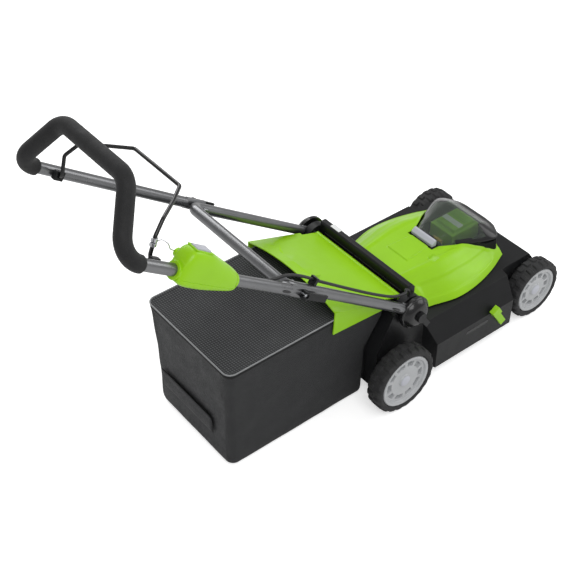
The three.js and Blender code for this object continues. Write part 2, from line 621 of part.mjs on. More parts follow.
// --- grass bag, its mouth frame and the grab panel behind
function bagBody(inset, shift = 0) {
  const bendX = BAG_FRONT + (BAG_BEND - MOUTH_BEND) * MOUTH_LEAN;
  const side = sideCut([
    [BAG_REAR + 5 + inset, BAG_LOW + inset], [BAG_FRONT - inset, BAG_LOW + inset], [BAG_FRONT - inset, MOUTH_BEND],
    [bendX - inset, BAG_BEND - inset / 2], [-14 - inset, 281 - inset], [-125, BAG_TOP - inset],
    [BAG_REAR + 14 + inset, BAG_TOP - inset], [BAG_REAR + inset, BAG_TOP - 14],
  ], -BAG_TOP_HALF - 1, BAG_TOP_HALF + 1);
  const front = frontCut(mirrorX([
    [BAG_LOW_HALF - 14 - inset, BAG_LOW + inset], [BAG_LOW_HALF - inset, BAG_LOW + 14],
    [BAG_TOP_HALF - inset, BAG_TOP - 10 - inset], [BAG_TOP_HALF - 10 - inset, BAG_TOP - inset],
  ]), BAG_REAR - 1, 10);
  return shared(side, front).translate(shift, 0, 0);
}
const bagMouth = box(BAG_FRONT - 30, 12, -MOUTH_HALF, MOUTH_HALF, 74, HUMP_Z - 18);
add('grass_bag', less(bagBody(0), bagBody(BAG_WALL), bagMouth), fabric);
const FRAME_FAR = DECK_REAR - BAG_FRONT - GAP;
add('bag_mouth_frame', less(
  shared(bagBody(0, FRAME_FAR), box(BAG_FRONT - 5, 30, -BAG_LOW_HALF, BAG_LOW_HALF, 44, 240)),
  bagBody(0, GAP), bagMouth.clone(),
), black);
const grabPanel = sideCut([[BAG_REAR - 1, 84], [BAG_REAR - 1, 130], [BAG_REAR + 6, 136], [BAG_REAR + 6, 78]],
  -92, 92);
add('bag_grab_handle', less(grabPanel, bagBody(-GAP)), black);

// --- handle: a local frame (d along the upper leg from the fold joint, h above it)
const cosS = Math.cos(HANDLE_SLOPE);
const sinS = Math.sin(HANDLE_SLOPE);
const FOLD_X = PIVOT_X - LOWER_LENGTH * cosS;
const FOLD_Z = PIVOT_Z + LOWER_LENGTH * sinS;
const leg = (d, h, y) => V(FOLD_X - d * cosS + h * sinS, y, FOLD_Z + d * sinS + h * cosS);
// a solid drawn with x as d, z as h, set on the leg
const legTurn = new THREE.Matrix4().makeBasis(V(-cosS, 0, sinS), V(0, -1, 0), V(sinS, 0, cosS))
  .setPosition(FOLD_X, 0, FOLD_Z);
const onLeg = (geometry) => geometry.applyMatrix4(legTurn);

const TONGUE_Y = REAR_HALF + GAP + TONGUE / 2; // middle of the pivot tongue
const tubeEnd = -LOWER_LENGTH + CAP_R + 10;
const lowerY = (d) => THREE.MathUtils.lerp(FOLD_Y, REAR_HALF + 8, -d / LOWER_LENGTH);
const lowerCorners = [
  leg(tubeEnd, 0, lowerY(tubeEnd)), leg(CROSSBAR_AT, 0, lowerY(CROSSBAR_AT)),
  leg(CROSSBAR_AT, 0, -lowerY(CROSSBAR_AT)),
  leg(tubeEnd, 0, -lowerY(tubeEnd)),
];
const pivotTongue = ([, side]) => joined(
  onLeg(box(-LOWER_LENGTH, tubeEnd + 24, ...span(-side, TONGUE_Y - TONGUE / 2, TONGUE_Y + TONGUE / 2), -12, 12)),
  pinY(PIVOT_X, PIVOT_Z, ...span(side, TONGUE_Y - TONGUE / 2, TONGUE_Y + TONGUE / 2), 15, 16),
);
const foldBore = pinY(FOLD_X, FOLD_Z, -UPPER_Y - 30, UPPER_Y + 30, 4 + GAP);
add('lower_handle', less(
  joined(tube(rounded(lowerCorners, 26), TUBE_R), ...SIDES.map(pivotTongue)),
  foldBore, pinY(PIVOT_X, PIVOT_Z, -REAR_HALF - 20, REAR_HALF + 20, BOLT_R + GAP),
), steel);

const upperStart = 48;
const upperCorners = [
  leg(upperStart, 0, UPPER_Y), leg(UPPER_LENGTH, 0, UPPER_Y), leg(UPPER_LENGTH, GRIP_RISE, GRIP_TOP_HALF),
  leg(UPPER_LENGTH, GRIP_RISE, -GRIP_TOP_HALF), leg(UPPER_LENGTH, 0, -UPPER_Y), leg(upperStart, 0, -UPPER_Y),
];
const GRIP_BEND = 46;
const foldTongueIn = FOLD_Y + TUBE_R + 2;
const foldTongueOut = foldTongueIn + 6;
const foldTongue = ([, side]) =>
  onLeg(box(-24, upperStart + 20, ...span(-side, foldTongueIn, foldTongueOut), -12, 12));
add('upper_handle', less(joined(tube(rounded(upperCorners, GRIP_BEND), TUBE_R), ...SIDES.map(foldTongue)),
  foldBore.clone()), steel);
const foamCorners = [leg(FOAM_START, 0, UPPER_Y), ...upperCorners.slice(1, 5), leg(FOAM_START, 0, -UPPER_Y)];
const foamPath = rounded(foamCorners, GRIP_BEND);
const boreCorners = [leg(FOAM_START - 5, 0, UPPER_Y), ...upperCorners.slice(1, 5), leg(FOAM_START - 5, 0, -UPPER_Y)];
add('foam_grip', less(tube(foamPath, FOAM_R),
  tube(rounded(boreCorners, GRIP_BEND), (TUBE_R + GAP) / Math.cos(Math.PI / 12))), foam);

// --- handle pivots: bolt, domed cap and wing knob on each side
for (const [label, side] of SIDES) {
  const inner = REAR_HALF + TONGUE + 2 * GAP;
  const outer = inner + CAP_DEPTH;
  const cap = turned([
    [BOLT_R + GAP, inner], [CAP_R, inner], [CAP_R, inner + 10], [CAP_R - 6, outer - 5], [CAP_R - 22, outer],
    [BOLT_R + GAP, outer],
  ], ROUND);
  if (side < 0) cap.rotateZ(Math.PI);
  add(`pivot_cap_${label}`, cap.translate(PIVOT_X, 0, PIVOT_Z), black);
  add(`pivot_bolt_${label}`, joined(
    pinY(PIVOT_X, PIVOT_Z, side * (TOWER_IN - 9), side * (TOWER_IN - GAP), 9, 6),
    pinY(PIVOT_X, PIVOT_Z, side * (TOWER_IN - 1), side * (outer + 6), BOLT_R),
  ), zinc);
  const knobIn = side * (outer + GAP);
  const knobOut = side * (outer + 9);
  add(`pivot_knob_${label}`, less(joined(
    pinY(PIVOT_X, PIVOT_Z, knobIn, knobOut, 13, 16),
    box(-7, 7, ...span(side, outer + 2, outer + 9), -38, -6).rotateY(-0.6).translate(PIVOT_X, 0, PIVOT_Z),
  ), pinY(PIVOT_X, PIVOT_Z, side * (outer - 2), side * (outer + 6 + GAP), BOLT_R + GAP)), black);
}

// --- fold joint on each side: a bolt with a cross pin, and a forked cam lever that swings outward on the pin
const CAM_R = 9;
const CROSS_PIN_R = 3;
const camIn = foldTongueOut + GAP;
const camY = camIn + CAM_R;
const crossPin = (side, radius, half) => onLeg(rod(V(0, -side * camY, -half), V(0, -side * camY, half), radius));
for (const [label, side] of SIDES) {
  const head = FOLD_Y - TUBE_R - GAP;
  add(`fold_bolt_${label}`, joined(
    pinY(FOLD_X, FOLD_Z, side * (head - 7), side * head, 8, 6),
    pinY(FOLD_X, FOLD_Z, side * (head - 1), side * (camY + 3), 4),
    crossPin(side, CROSS_PIN_R, CAM_R - 1),
  ), zinc);
  add(`fold_lever_${label}`, less(
    joined(
      onLeg(rod(V(0, -side * camY, -CAM_R), V(0, -side * camY, CAM_R), CAM_R, 16)),
      onLeg(box(-66, -4, ...span(-side, camY, camY + 6), -CAM_R + 1, CAM_R - 1)),
    ),
    onLeg(box(-6, CAM_R + 3, ...span(-side, camIn - 3, camY + CAM_R + 3), -4 - GAP, 4 + GAP)),
    crossPin(side, CROSS_PIN_R + GAP, CAM_R + 2),
  ), black);
}

// --- bail lever in its two brackets, with the collar and wire that pull the switch
const bracketIn = UPPER_Y - TUBE_R - GAP;
const bracketDepth = 12;
for (const [label, side] of SIDES) {
  add(`bail_bracket_${label}`, less(
    onLeg(box(BAIL_AT - 11, BAIL_AT + 11, ...span(-side, bracketIn - bracketDepth, bracketIn), -10, 10)),
    onLeg(rod(V(BAIL_AT, -side * (bracketIn - 4), 0), V(BAIL_AT, -side * (bracketIn - 20), 0), BAIL_R + GAP)),
  ), black);
}
const bailSide = (side) => [
  leg(BAIL_AT, 0, side * (bracketIn - 5)), leg(BAIL_AT, 0, side * (BAIL_Y - 4)),
  leg(BAIL_AT + 15, 46, side * BAIL_Y), leg(BAIL_AT + 5, 78, side * (BAIL_Y - 12)),
  leg(BAIL_AT - 31, 101, side * 115), leg(BAIL_AT - 66, 122, side * 78),
];
add('bail_lever', tube(rounded([...bailSide(1), ...bailSide(-1).reverse()], 6, 2), BAIL_R, 8), black);
const BOSS = { d: 383, h: 10, r: 6 };
const [, bailLow, bailBend] = bailSide(-1);
const onBail = (share) => bailLow.clone().lerp(bailBend, share);
const wireEnd = leg(BOSS.d + 5, BOSS.h + 5, -BAIL_Y + 1);
add('bail_collar_and_wire', less(
  joined(rod(onBail(0.65), onBail(0.87), 7), rod(leg(BAIL_AT + 6, 32, -BAIL_Y + 1), wireEnd, 1, 8)),
  rod(onBail(0.5), onBail(0.98), BAIL_R + 2 * GAP),
), zinc);

// --- switch box on the right leg: two shells, safety button
const boxProfile = (inset) => [
  [BOX_START + inset, -14 + inset], [BOX_START + inset, 8 - inset],
  [BOX_START + 12, 16 - inset], [266, 33 - inset], [312, 44 - inset], [352, 48 - inset],
  [BOX_END + 22 - inset, 46 - inset], [BOX_END + 26 - inset, 34], [BOX_END + 6 - inset, 16],
  [BOX_END - inset, -16 + inset], [BOX_END - 40, -26 + inset], [218, -26 + inset],
];
const legSolid = (points, y0, y1) => onLeg(sideCut(points, y0, y1));
const boxOuter = (inset) => legSolid(boxProfile(inset), UPPER_Y - BOX_HALF + inset, UPPER_Y + BOX_HALF - inset);
const aboveSplit = onLeg(box(BOX_START - 20, BOX_END + 60, 0, 400, BOX_SPLIT + GAP / 2, 90));
const belowSplit = onLeg(box(BOX_START - 20, BOX_END + 60, 0, 400, -60, BOX_SPLIT - GAP / 2));
const legBore = onLeg(rod(V(BOX_START - 30, UPPER_Y, 0), V(BOX_END + 60, UPPER_Y, 0),
  (TUBE_R + GAP) / Math.cos(Math.PI / 16), 16));
const BUTTON = { from: 314, to: 350, half: 11, top: 55 };
const cavity = shared(boxOuter(BOX_WALL), onLeg(box(BOX_START + 30, BOX_END - 12, 0, 400, BOX_SPLIT - 5, 60)));
const buttonHole = onLeg(box(BUTTON.from - GAP, BUTTON.to + GAP,
  UPPER_Y - BUTTON.half - GAP, UPPER_Y + BUTTON.half + GAP, 30, 80));
const boss = onLeg(rod(V(BOSS.d, UPPER_Y - BOX_HALF + 1, BOSS.h), V(BOSS.d, UPPER_Y - BOX_HALF - 7, BOSS.h), BOSS.r));
const bossArm = onLeg(box(BOX_END - 4, BOSS.d + 4, UPPER_Y - BOX_HALF, UPPER_Y - BOX_HALF + 6, 6, 40));
add('switch_box_top', less(joined(shared(boxOuter(0), aboveSplit), boss, bossArm),
  cavity, legBore, buttonHole), green);
add('switch_box_base', less(shared(boxOuter(0), belowSplit), legBore.clone()), green);
add('safety_button', onLeg(joined(
  box(BUTTON.from, BUTTON.to, UPPER_Y - BUTTON.half, UPPER_Y + BUTTON.half, 36, BUTTON.top),
  box(BUTTON.from - 4, BUTTON.to + 4, UPPER_Y - BUTTON.half - 3, UPPER_Y + BUTTON.half + 3, 32, 36),
)), paleGrey);

// --- switch cable from the box along the handle to the right tower, and its clip
const cableY = -(UPPER_Y - TUBE_R - CABLE_R - 1.5);
const CLIP_D = -52;
const upperCable = [
  leg(BOX_START - GAP, 2, cableY), leg(150, 2, cableY), leg(100, 4, cableY), leg(72, 12, cableY),
  leg(50, 21, cableY + 1), leg(20, 25, cableY + 3), leg(-20, 25, cableY + 4), leg(CLIP_D, 22, cableY + 4),
];
const lowerCable = [
  leg(CLIP_D - GAP, 22, cableY + 4), leg(-100, 21, cableY + 1), leg(-180, 19, cableY - 2), leg(-260, 18, cableY - 4),
  leg(-330, 21, cableY - 5), leg(-368, 34, cableY - 5),
  V(PIVOT_X - 10, cableY - 1, PIVOT_Z + 58), V(PIVOT_X, cableY, PIVOT_Z + 50), V(PIVOT_X, cableY, PIVOT_Z + 37 + GAP),
];
add('switch_cable_upper', tube(upperCable, CABLE_R, 8), rubber);
add('switch_cable_lower', tube(lowerCable, CABLE_R, 8), rubber);
const clipY = -lowerY(CLIP_D);
const clipAt = (half, low, high, extra) => onLeg(box(CLIP_D + 6 - half, CLIP_D + 6 + half,
  -cableY - 12 - extra, -clipY + 4 + extra, low, high));
add('cable_clip', less(clipAt(4, TUBE_R - 3, 30, 0),
  tube([...upperCable.slice(-2), ...lowerCable.slice(1, 2)], (CABLE_R + GAP) / Math.cos(Math.PI / 8), 8),
  tube(lowerCorners.slice(2).map((p) => p.clone()), TUBE_R + GAP * 2, 16)), black);

// the origin is under the middle of the whole machine
const extent = new THREE.Box3().setFromObject(mower);
mower.position.x = -(extent.min.x + extent.max.x) / 2;

export default mower;
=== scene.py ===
import json
import math
from math import cos, pi, radians, sin

import bmesh
import bpy
from mathutils import Matrix, Vector


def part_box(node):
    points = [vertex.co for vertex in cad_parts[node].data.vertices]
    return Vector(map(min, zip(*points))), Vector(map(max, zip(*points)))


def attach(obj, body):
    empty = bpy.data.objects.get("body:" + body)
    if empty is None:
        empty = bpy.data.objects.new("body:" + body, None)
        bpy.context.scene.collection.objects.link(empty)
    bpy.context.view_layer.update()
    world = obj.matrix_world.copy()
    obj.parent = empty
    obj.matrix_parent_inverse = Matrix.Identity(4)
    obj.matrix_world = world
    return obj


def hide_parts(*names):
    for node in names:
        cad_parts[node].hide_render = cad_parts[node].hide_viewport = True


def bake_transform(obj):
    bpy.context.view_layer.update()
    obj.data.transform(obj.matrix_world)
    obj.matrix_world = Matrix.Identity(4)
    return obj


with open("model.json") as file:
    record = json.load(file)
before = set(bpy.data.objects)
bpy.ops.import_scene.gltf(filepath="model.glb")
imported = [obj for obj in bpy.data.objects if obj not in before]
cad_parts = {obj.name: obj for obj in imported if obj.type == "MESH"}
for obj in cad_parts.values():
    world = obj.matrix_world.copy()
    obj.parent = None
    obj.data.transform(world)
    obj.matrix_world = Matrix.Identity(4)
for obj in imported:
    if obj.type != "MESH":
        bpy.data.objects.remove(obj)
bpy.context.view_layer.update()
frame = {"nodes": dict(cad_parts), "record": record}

# P and leg take millimetres and give metres. P's x is measured forward from the rear axle, and
# leg's first two values run along the handle and above it.
rear_low, rear_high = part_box("rear_left_tyre")
AXLE_X = (rear_low.x + rear_high.x) / 2


def P(x, y, z):
    return Vector((AXLE_X + x / 1000, y / 1000, z / 1000))


# ------------------------------------------------------------------ materials
def nodes_of(name):
    material = bpy.data.materials.new(name)
    material.use_nodes = True
    tree = material.node_tree
    return material, tree, tree.nodes["Principled BSDF"]


def link(tree, a, b):
    tree.links.new(a, b)


def noise(tree, scale, detail=3.0, rough=0.55, coord=None):
    node = tree.nodes.new("ShaderNodeTexNoise")
    node.inputs["Scale"].default_value = scale
    node.inputs["Detail"].default_value = detail
    node.inputs["Roughness"].default_value = rough
    if coord is None:
        coord = tree.nodes.new("ShaderNodeTexCoord").outputs["Object"]
    link(tree, coord, node.inputs["Vector"])
    return node.outputs["Fac"]


def ramp(tree, value, stops):
    node = tree.nodes.new("ShaderNodeValToRGB")
    node.color_ramp.elements[0].position = stops[0][0]
    node.color_ramp.elements[0].color = (*stops[0][1], 1)
    node.color_ramp.elements[1].position = stops[-1][0]
    node.color_ramp.elements[1].color = (*stops[-1][1], 1)
    for at, color in stops[1:-1]:
        node.color_ramp.elements.new(at).color = (*color, 1)
    link(tree, value, node.inputs["Fac"])
    return node.outputs["Color"]


def bump(tree, shader, height, strength, distance, round_edges=0.0, before=None):
    node = tree.nodes.new("ShaderNodeBump")
    node.inputs["Strength"].default_value = strength
    node.inputs["Distance"].default_value = distance
    link(tree, height, node.inputs["Height"])
    if before is not None:
        link(tree, before, node.inputs["Normal"])
    elif round_edges:
        bevel = tree.nodes.new("ShaderNodeBevel")
        bevel.samples = 4
        bevel.inputs["Radius"].default_value = round_edges
        link(tree, bevel.outputs["Normal"], node.inputs["Normal"])
    link(tree, node.outputs["Normal"], shader.inputs["Normal"])
    return node.outputs["Normal"]


def tone(color, factor):
    return tuple(min(1.0, c * factor) for c in color)


def greys(low, high):
    """Ramp stops from one plain value to another."""
    return [(0.3, (low,) * 3), (0.7, (high,) * 3)]


def voronoi(tree, scale, feature="F1"):
    node = tree.nodes.new("ShaderNodeTexVoronoi")
    node.feature = feature
    node.inputs["Scale"].default_value = scale
    link(tree, tree.nodes.new("ShaderNodeTexCoord").outputs["Object"], node.inputs["Vector"])
    return node.outputs["Distance"]


def moulded(name, color, rough, grain=900.0, depth=0.25, coat=0.0, metal=0.0, vary=0.1, edge=0.0,
            shine=0.5):
    """Moulded or coated surface: slight cloudiness, a fine grain and uneven gloss."""
    material, tree, shader = nodes_of(name)
    cloud = noise(tree, 9.0, 4.0)
    link(tree, ramp(tree, cloud, [(0.3, tone(color, 1 - vary)), (0.7, tone(color, 1 + vary))]),
         shader.inputs["Base Color"])
    gloss = ramp(tree, noise(tree, 30.0), greys(rough * 0.88, min(1, rough * 1.12)))
    link(tree, gloss, shader.inputs["Roughness"])
    shader.inputs["Metallic"].default_value = metal
    shader.inputs["Coat Weight"].default_value = coat
    shader.inputs["Coat Roughness"].default_value = 0.12
    shader.inputs["Specular IOR Level"].default_value = shine
    bump(tree, shader, noise(tree, grain, 2.0), depth, 0.0002, edge)
    return material


GREEN = moulded("green_gloss", (0.282, 0.585, 0.004), 0.36, 500, 0.06, coat=0.12, vary=0.05,
                 shine=0.3)
DEEP_GREEN = moulded("green_ribbed", (0.21, 0.47, 0.004), 0.42, 500, 0.1, vary=0.06, shine=0.3)
BLACK = moulded("black_moulded", (0.0085, 0.0088, 0.0095), 0.4, 1300, 0.3, vary=0.15, edge=0.0012,
                 shine=0.26)
BLACK_GLOSS = moulded("black_gloss", (0.007, 0.007, 0.0075), 0.24, 700, 0.06, coat=0.12, vary=0.12,
                       shine=0.4)
# handle tube coating, also used for the transverse bar's painted highlight line
TUBE_AND_HIGHLIGHT = moulded("tube_coat", (0.2, 0.202, 0.208), 0.3, 1500, 0.2, metal=0.9, vary=0.1)
ZINC = moulded("zinc_plate", (0.55, 0.56, 0.58), 0.28, 400, 0.15, metal=1.0, vary=0.1)
STEEL = moulded("ground_steel", (0.42, 0.43, 0.45), 0.33, 250, 0.3, metal=1.0, vary=0.12)
CAN = moulded("cast_can", (0.4, 0.41, 0.43), 0.4, 300, 0.4, metal=0.9, vary=0.1)
RIM = moulded("rim_grey", (0.42, 0.43, 0.44), 0.38, 800, 0.15, coat=0.15, vary=0.05)
PALE = moulded("pale_grey", (0.46, 0.47, 0.52), 0.36, 800, 0.12, coat=0.1, vary=0.05)
YELLOW = moulded("key_yellow", (0.75, 0.45, 0.02), 0.4, 700, 0.1, vary=0.05)
# pale label colour, also used for the cover's painted glint strip
LABEL_AND_GLINT = moulded("blank_label", (0.75, 0.76, 0.76), 0.35, 900, 0.05, vary=0.03)
CABLE = moulded("cable_sheath", (0.012, 0.012, 0.013), 0.45, 1200, 0.2, vary=0.1)
PIPING = moulded("bag_piping", (0.24, 0.245, 0.25), 0.6, 1800, 0.5, vary=0.12)


def rubber():
    material, tree, shader = nodes_of("tyre_rubber")
    dust = noise(tree, 14.0, 5.0)
    link(tree, ramp(tree, dust, [(0.35, (0.010, 0.010, 0.0105)), (0.7, (0.021, 0.021, 0.022))]),
         shader.inputs["Base Color"])
    link(tree, ramp(tree, dust, greys(0.62, 0.8)), shader.inputs["Roughness"])
    bump(tree, shader, noise(tree, 700.0), 0.4, 0.0003)
    return material


def foam():
    """Closed-cell foam: soft sheen and small open cells."""
    material, tree, shader = nodes_of("grip_foam")
    cells = voronoi(tree, 1100.0)
    shades = [(0.1, (0.026, 0.0265, 0.0275)), (0.55, (0.010, 0.010, 0.0105))]
    link(tree, ramp(tree, cells, shades), shader.inputs["Base Color"])
    link(tree, ramp(tree, noise(tree, 40.0), greys(0.6, 0.78)), shader.inputs["Roughness"])
    shader.inputs["Sheen Weight"].default_value = 0.06
    shader.inputs["Specular IOR Level"].default_value = 0.3
    shader.inputs["Sheen Roughness"].default_value = 0.5
    soft = bump(tree, shader, cells, 0.35, 0.0004)
    bump(tree, shader, noise(tree, 60.0), 0.25, 0.0008, before=soft)
    return material


WAVE_REPEAT = 0.314  # metres between the bands of a wave texture of scale 1


def woven(name, color, pitch, depth, rough, ribbed):
    """Cloth in the piece's own flat coordinates, in metres, kept in its UV map."""
    material, tree, shader = nodes_of(name)
    uv = tree.nodes.new("ShaderNodeUVMap").outputs["UV"]
    waves = []
    for turn in (0.0, pi / 2):
        mapping = tree.nodes.new("ShaderNodeMapping")
        mapping.inputs["Rotation"].default_value = (0, 0, turn)
        link(tree, uv, mapping.inputs["Vector"])
        wave = tree.nodes.new("ShaderNodeTexWave")
        wave.inputs["Scale"].default_value = WAVE_REPEAT / pitch
        wave.inputs["Distortion"].default_value = 0.3
        link(tree, mapping.outputs["Vector"], wave.inputs["Vector"])
        waves.append(wave.outputs["Fac"])
    mix = tree.nodes.new("ShaderNodeMath")
    mix.operation = "MULTIPLY" if ribbed else "ADD"
    link(tree, waves[0], mix.inputs[0])
    link(tree, waves[1], mix.inputs[1])
    thread = mix.outputs["Value"]
    shades = [(0.05, tone(color, 0.4)), (0.6, tone(color, 1.45))]
    link(tree, ramp(tree, thread, shades), shader.inputs["Base Color"])
    gloss = greys(rough * 0.9, min(1, rough * 1.1))
    link(tree, ramp(tree, noise(tree, 20.0, coord=uv), gloss), shader.inputs["Roughness"])
    shader.inputs["Sheen Weight"].default_value = 0.03
    shader.inputs["Specular IOR Level"].default_value = 0.22
    shader.inputs["Sheen Roughness"].default_value = 0.4
    weave = bump(tree, shader, thread, depth, 0.0005)
    bump(tree, shader, noise(tree, 14.0, coord=uv), 0.25, 0.004, before=weave)
    return material


MESH_TOP = woven("bag_mesh", (0.052, 0.054, 0.056), 0.0062, 0.9, 0.62, True)
CLOTH = woven("bag_cloth", (0.020, 0.0205, 0.0215), 0.0011, 0.5, 0.62, False)
CLOTH_EDGE = woven("bag_binding", (0.016, 0.0165, 0.017), 0.0014, 0.5, 0.55, False)


def grained():
    """Coated cloth with a pressed leather-like grain."""
    material, tree, shader = nodes_of("bag_grained")
    grain = voronoi(tree, 260.0, "SMOOTH_F1")
    link(tree, ramp(tree, grain, [(0.1, (0.046, 0.047, 0.049)), (0.7, (0.022, 0.0225, 0.024))]),
         shader.inputs["Base Color"])
    link(tree, ramp(tree, noise(tree, 30.0), greys(0.5, 0.64)), shader.inputs["Roughness"])
    shader.inputs["Specular IOR Level"].default_value = 0.25
    soft = bump(tree, shader, grain, 0.5, 0.0012)
    bump(tree, shader, noise(tree, 14.0), 0.25, 0.004, before=soft)
    return material


REAR_CLOTH = grained()


def smoked():
    material, tree, shader = nodes_of("smoked_clear")
    haze = noise(tree, 18.0)
    tints = [(0.3, (0.40, 0.45, 0.40)), (0.7, (0.45, 0.50, 0.45))]
    link(tree, ramp(tree, haze, tints), shader.inputs["Base Color"])
    link(tree, ramp(tree, haze, greys(0.06, 0.1)), shader.inputs["Roughness"])
    shader.inputs["Transmission Weight"].default_value = 0.92
    shader.inputs["IOR"].default_value = 1.15
    bump(tree, shader, noise(tree, 60.0), 0.05, 0.0003)
    return material


RUBBER, FOAM, SMOKED = rubber(), foam(), smoked()

LOOK = {
    "green_plastic": GREEN, "black_plastic": BLACK, "tyre": RUBBER, "rim_grey": RIM,
    "pale_grey": PALE, "handle_tube": TUBE_AND_HIGHLIGHT, "steel": ZINC, "motor_can": CAN, "foam": FOAM,
    "bag_fabric": CLOTH, "smoked": SMOKED, "key_yellow": YELLOW, "cable_black": CABLE,
}
SLOT = {part["node"]: part["material_slot"] for part in frame["record"]["subparts"]}
BODIES = frame["record"]["behaviour"]["bodies"]
BODY = {node: body for body, names in BODIES.items() for node in names}


# ------------------------------------------------------------------ mesh helpers
def placed(name, data):
    item = bpy.data.objects.new(name, data)
    bpy.context.collection.objects.link(item)
    return item


def piece(name, mesh, material, node, hide=(), body=None):
    """A new piece that rides with CAD node's body and stands for the nodes in hide."""
    item = placed(name, mesh)
    if not mesh.materials:
        mesh.materials.append(material)
    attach(item, body or BODY[node])
    if hide:
        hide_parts(*hide)
    return item


def mesh_from(name, points, faces, sharp=40.0):
    mesh = bpy.data.meshes.new(name)
    mesh.from_pydata([tuple(p) for p in points], [], faces)
    work = bmesh.new()
    work.from_mesh(mesh)
    bmesh.ops.remove_doubles(work, verts=work.verts, dist=1e-6)
    bmesh.ops.recalc_face_normals(work, faces=work.faces)
    work.to_mesh(mesh)
    work.free()
    smooth(mesh, sharp)
    return mesh


def smooth(mesh, sharp):
    mesh.shade_smooth()
    mesh.set_sharp_from_angle(angle=radians(sharp))


def grid_faces(rows, columns, wrap_rows=False, wrap_columns=False):
    faces = []
    for i in range(rows if wrap_rows else rows - 1):
        for j in range(columns if wrap_columns else columns - 1):
            a, b = i * columns, ((i + 1) % rows) * columns
            k = (j + 1) % columns
            faces.append((a + j, a + k, b + k, b + j))
    return faces


def lathe(name, profile, centre, steps=72, sharp=35.0, side=1):
    """A closed [radius, y] outline in millimetres turned about the axle through centre."""
    points = []
    for i in range(steps):
        angle = 2 * pi * i / steps
        points += [centre + Vector((r * cos(angle), side * y, r * sin(angle))) / 1000
                   for r, y in profile]
    return mesh_from(name, points, grid_faces(steps, len(profile), True, True), sharp)


def rounded_path(corners, radius, steps=10):
    """Straight runs between the corners, with each bend rounded to radius metres."""
    path = [corners[0]]
    for i in range(1, len(corners) - 1):
        back = (corners[i - 1] - corners[i]).normalized()
        ahead = (corners[i + 1] - corners[i]).normalized()
        half = back.angle(ahead) / 2
        centre = corners[i] + (back + ahead).normalized() * (radius / sin(half))
        first = corners[i] + back * (radius / math.tan(half)) - centre
        second = corners[i] + ahead * (radius / math.tan(half)) - centre
        arc = first.angle(second)
        for k in range(steps + 1):
            f = k / steps
            of_first, of_second = sin((1 - f) * arc) / sin(arc), sin(f * arc) / sin(arc)
            path.append(centre + first * of_first + second * of_second)
    path.append(corners[-1])
    return path


def smooth_path(points, per=10):
    """A Catmull-Rom curve through the points."""
    path = []
    ends = [2 * points[0] - points[1], *points, 2 * points[-1] - points[-2]]
    for a, b, c, d in zip(ends, ends[1:], ends[2:], ends[3:]):
        for k in range(per):
            t = k / per
            path.append(0.5 * (2 * b + (c - a) * t + (2 * a - 5 * b + 4 * c - d) * t * t
                               + (3 * b - a - 3 * c + d) * t ** 3))
    path.append(points[-1])
    return path


def sweep(name, path, section, scale=None, sharp=35.0, first_side=None):
    """A closed section of [side, up] metres carried along path; scale(share) gives two factors."""
    tangents = []
    for i, p in enumerate(path):
        ahead = path[min(i + 1, len(path) - 1)] - path[max(i - 1, 0)]
        tangents.append(ahead.normalized())
    side = first_side or tangents[0].orthogonal()
    points = []
    for i, (p, tangent) in enumerate(zip(path, tangents)):
        side = (side - tangent * side.dot(tangent)).normalized()
        up = tangent.cross(side)
        wide, high = scale(i / (len(path) - 1)) if scale else (1, 1)
        points += [p + side * (a * wide) + up * (b * high) for a, b in section]
    count = len(section)
    faces = grid_faces(len(path), count, False, True)
    faces.append(tuple(range(count))[::-1])
    faces.append(tuple(range(len(points) - count, len(points))))
    return mesh_from(name, points, faces, sharp)


def round_section(radius, sides=28):
    """A circle of radius millimetres, as [side, up] in metres."""
    turns = [2 * pi * i / sides for i in range(sides)]
    return [(radius * cos(a) / 1000, radius * sin(a) / 1000) for a in turns]


def swept(name, path, section, material, node, hide=(), **options):
    """A piece made by sweep, which takes the options."""
    return piece(name, sweep(name, path, section, **options), material, node, hide)


def length_of(path):
    """The path's length in millimetres."""
    return sum((b - a).length for a, b in zip(path, path[1:])) * 1000


def opened(ring):
    """A ring with a stretch left out, started just after the gap."""
    first = max(range(len(ring)), key=lambda i: (ring[i] - ring[i - 1]).length)
    return ring[first:] + ring[:first]


def step(value, low, high):
    """0 up to low and 1 from high, with a smooth rise between."""
    t = min(1.0, max(0.0, (value - low) / (high - low)))
    return t * t * (3 - 2 * t)


def loft(name, surface, rows, columns, sharp=50.0):
    """A thin sheet through surface(u, v), where u and v run from 0 to 1."""
    points = [surface(i / rows, j / columns) for i in range(rows + 1) for j in range(columns + 1)]
    return mesh_from(name, points, grid_faces(rows + 1, columns + 1), sharp)


def modify(item, kind, **settings):
    modifier = item.modifiers.new(kind.lower(), kind)
    for key, value in settings.items():
        setattr(modifier, key, value)
    return modifier


def bevelled(item, width, segments, angle, **settings):
    """Rounds the edges that turn by more than angle degrees, to width metres."""
    modify(item, "BEVEL", width=width, segments=segments, limit_method="ANGLE",
           angle_limit=radians(angle), **settings)


def softened(node, width=1.2, sharp=38.0, material=None):
    """The CAD node's own shape with its moulded edges rounded and its curved faces smooth."""
    mesh = bpy.data.meshes.new(node + "_soft")
    work = bmesh.new()
    work.from_mesh(frame["nodes"][node].data)
    bmesh.ops.remove_doubles(work, verts=work.verts, dist=2e-5)
    bmesh.ops.dissolve_limit(work, angle_limit=radians(1.0), verts=work.verts, edges=work.edges)
    work.to_mesh(mesh)
    work.free()
    smooth(mesh, sharp)
    item = piece(node + "_finished", mesh, material or LOOK[SLOT[node]], node, hide=[node])
    bevelled(item, width / 1000, 2, sharp, harden_normals=True, use_clamp_overlap=True)


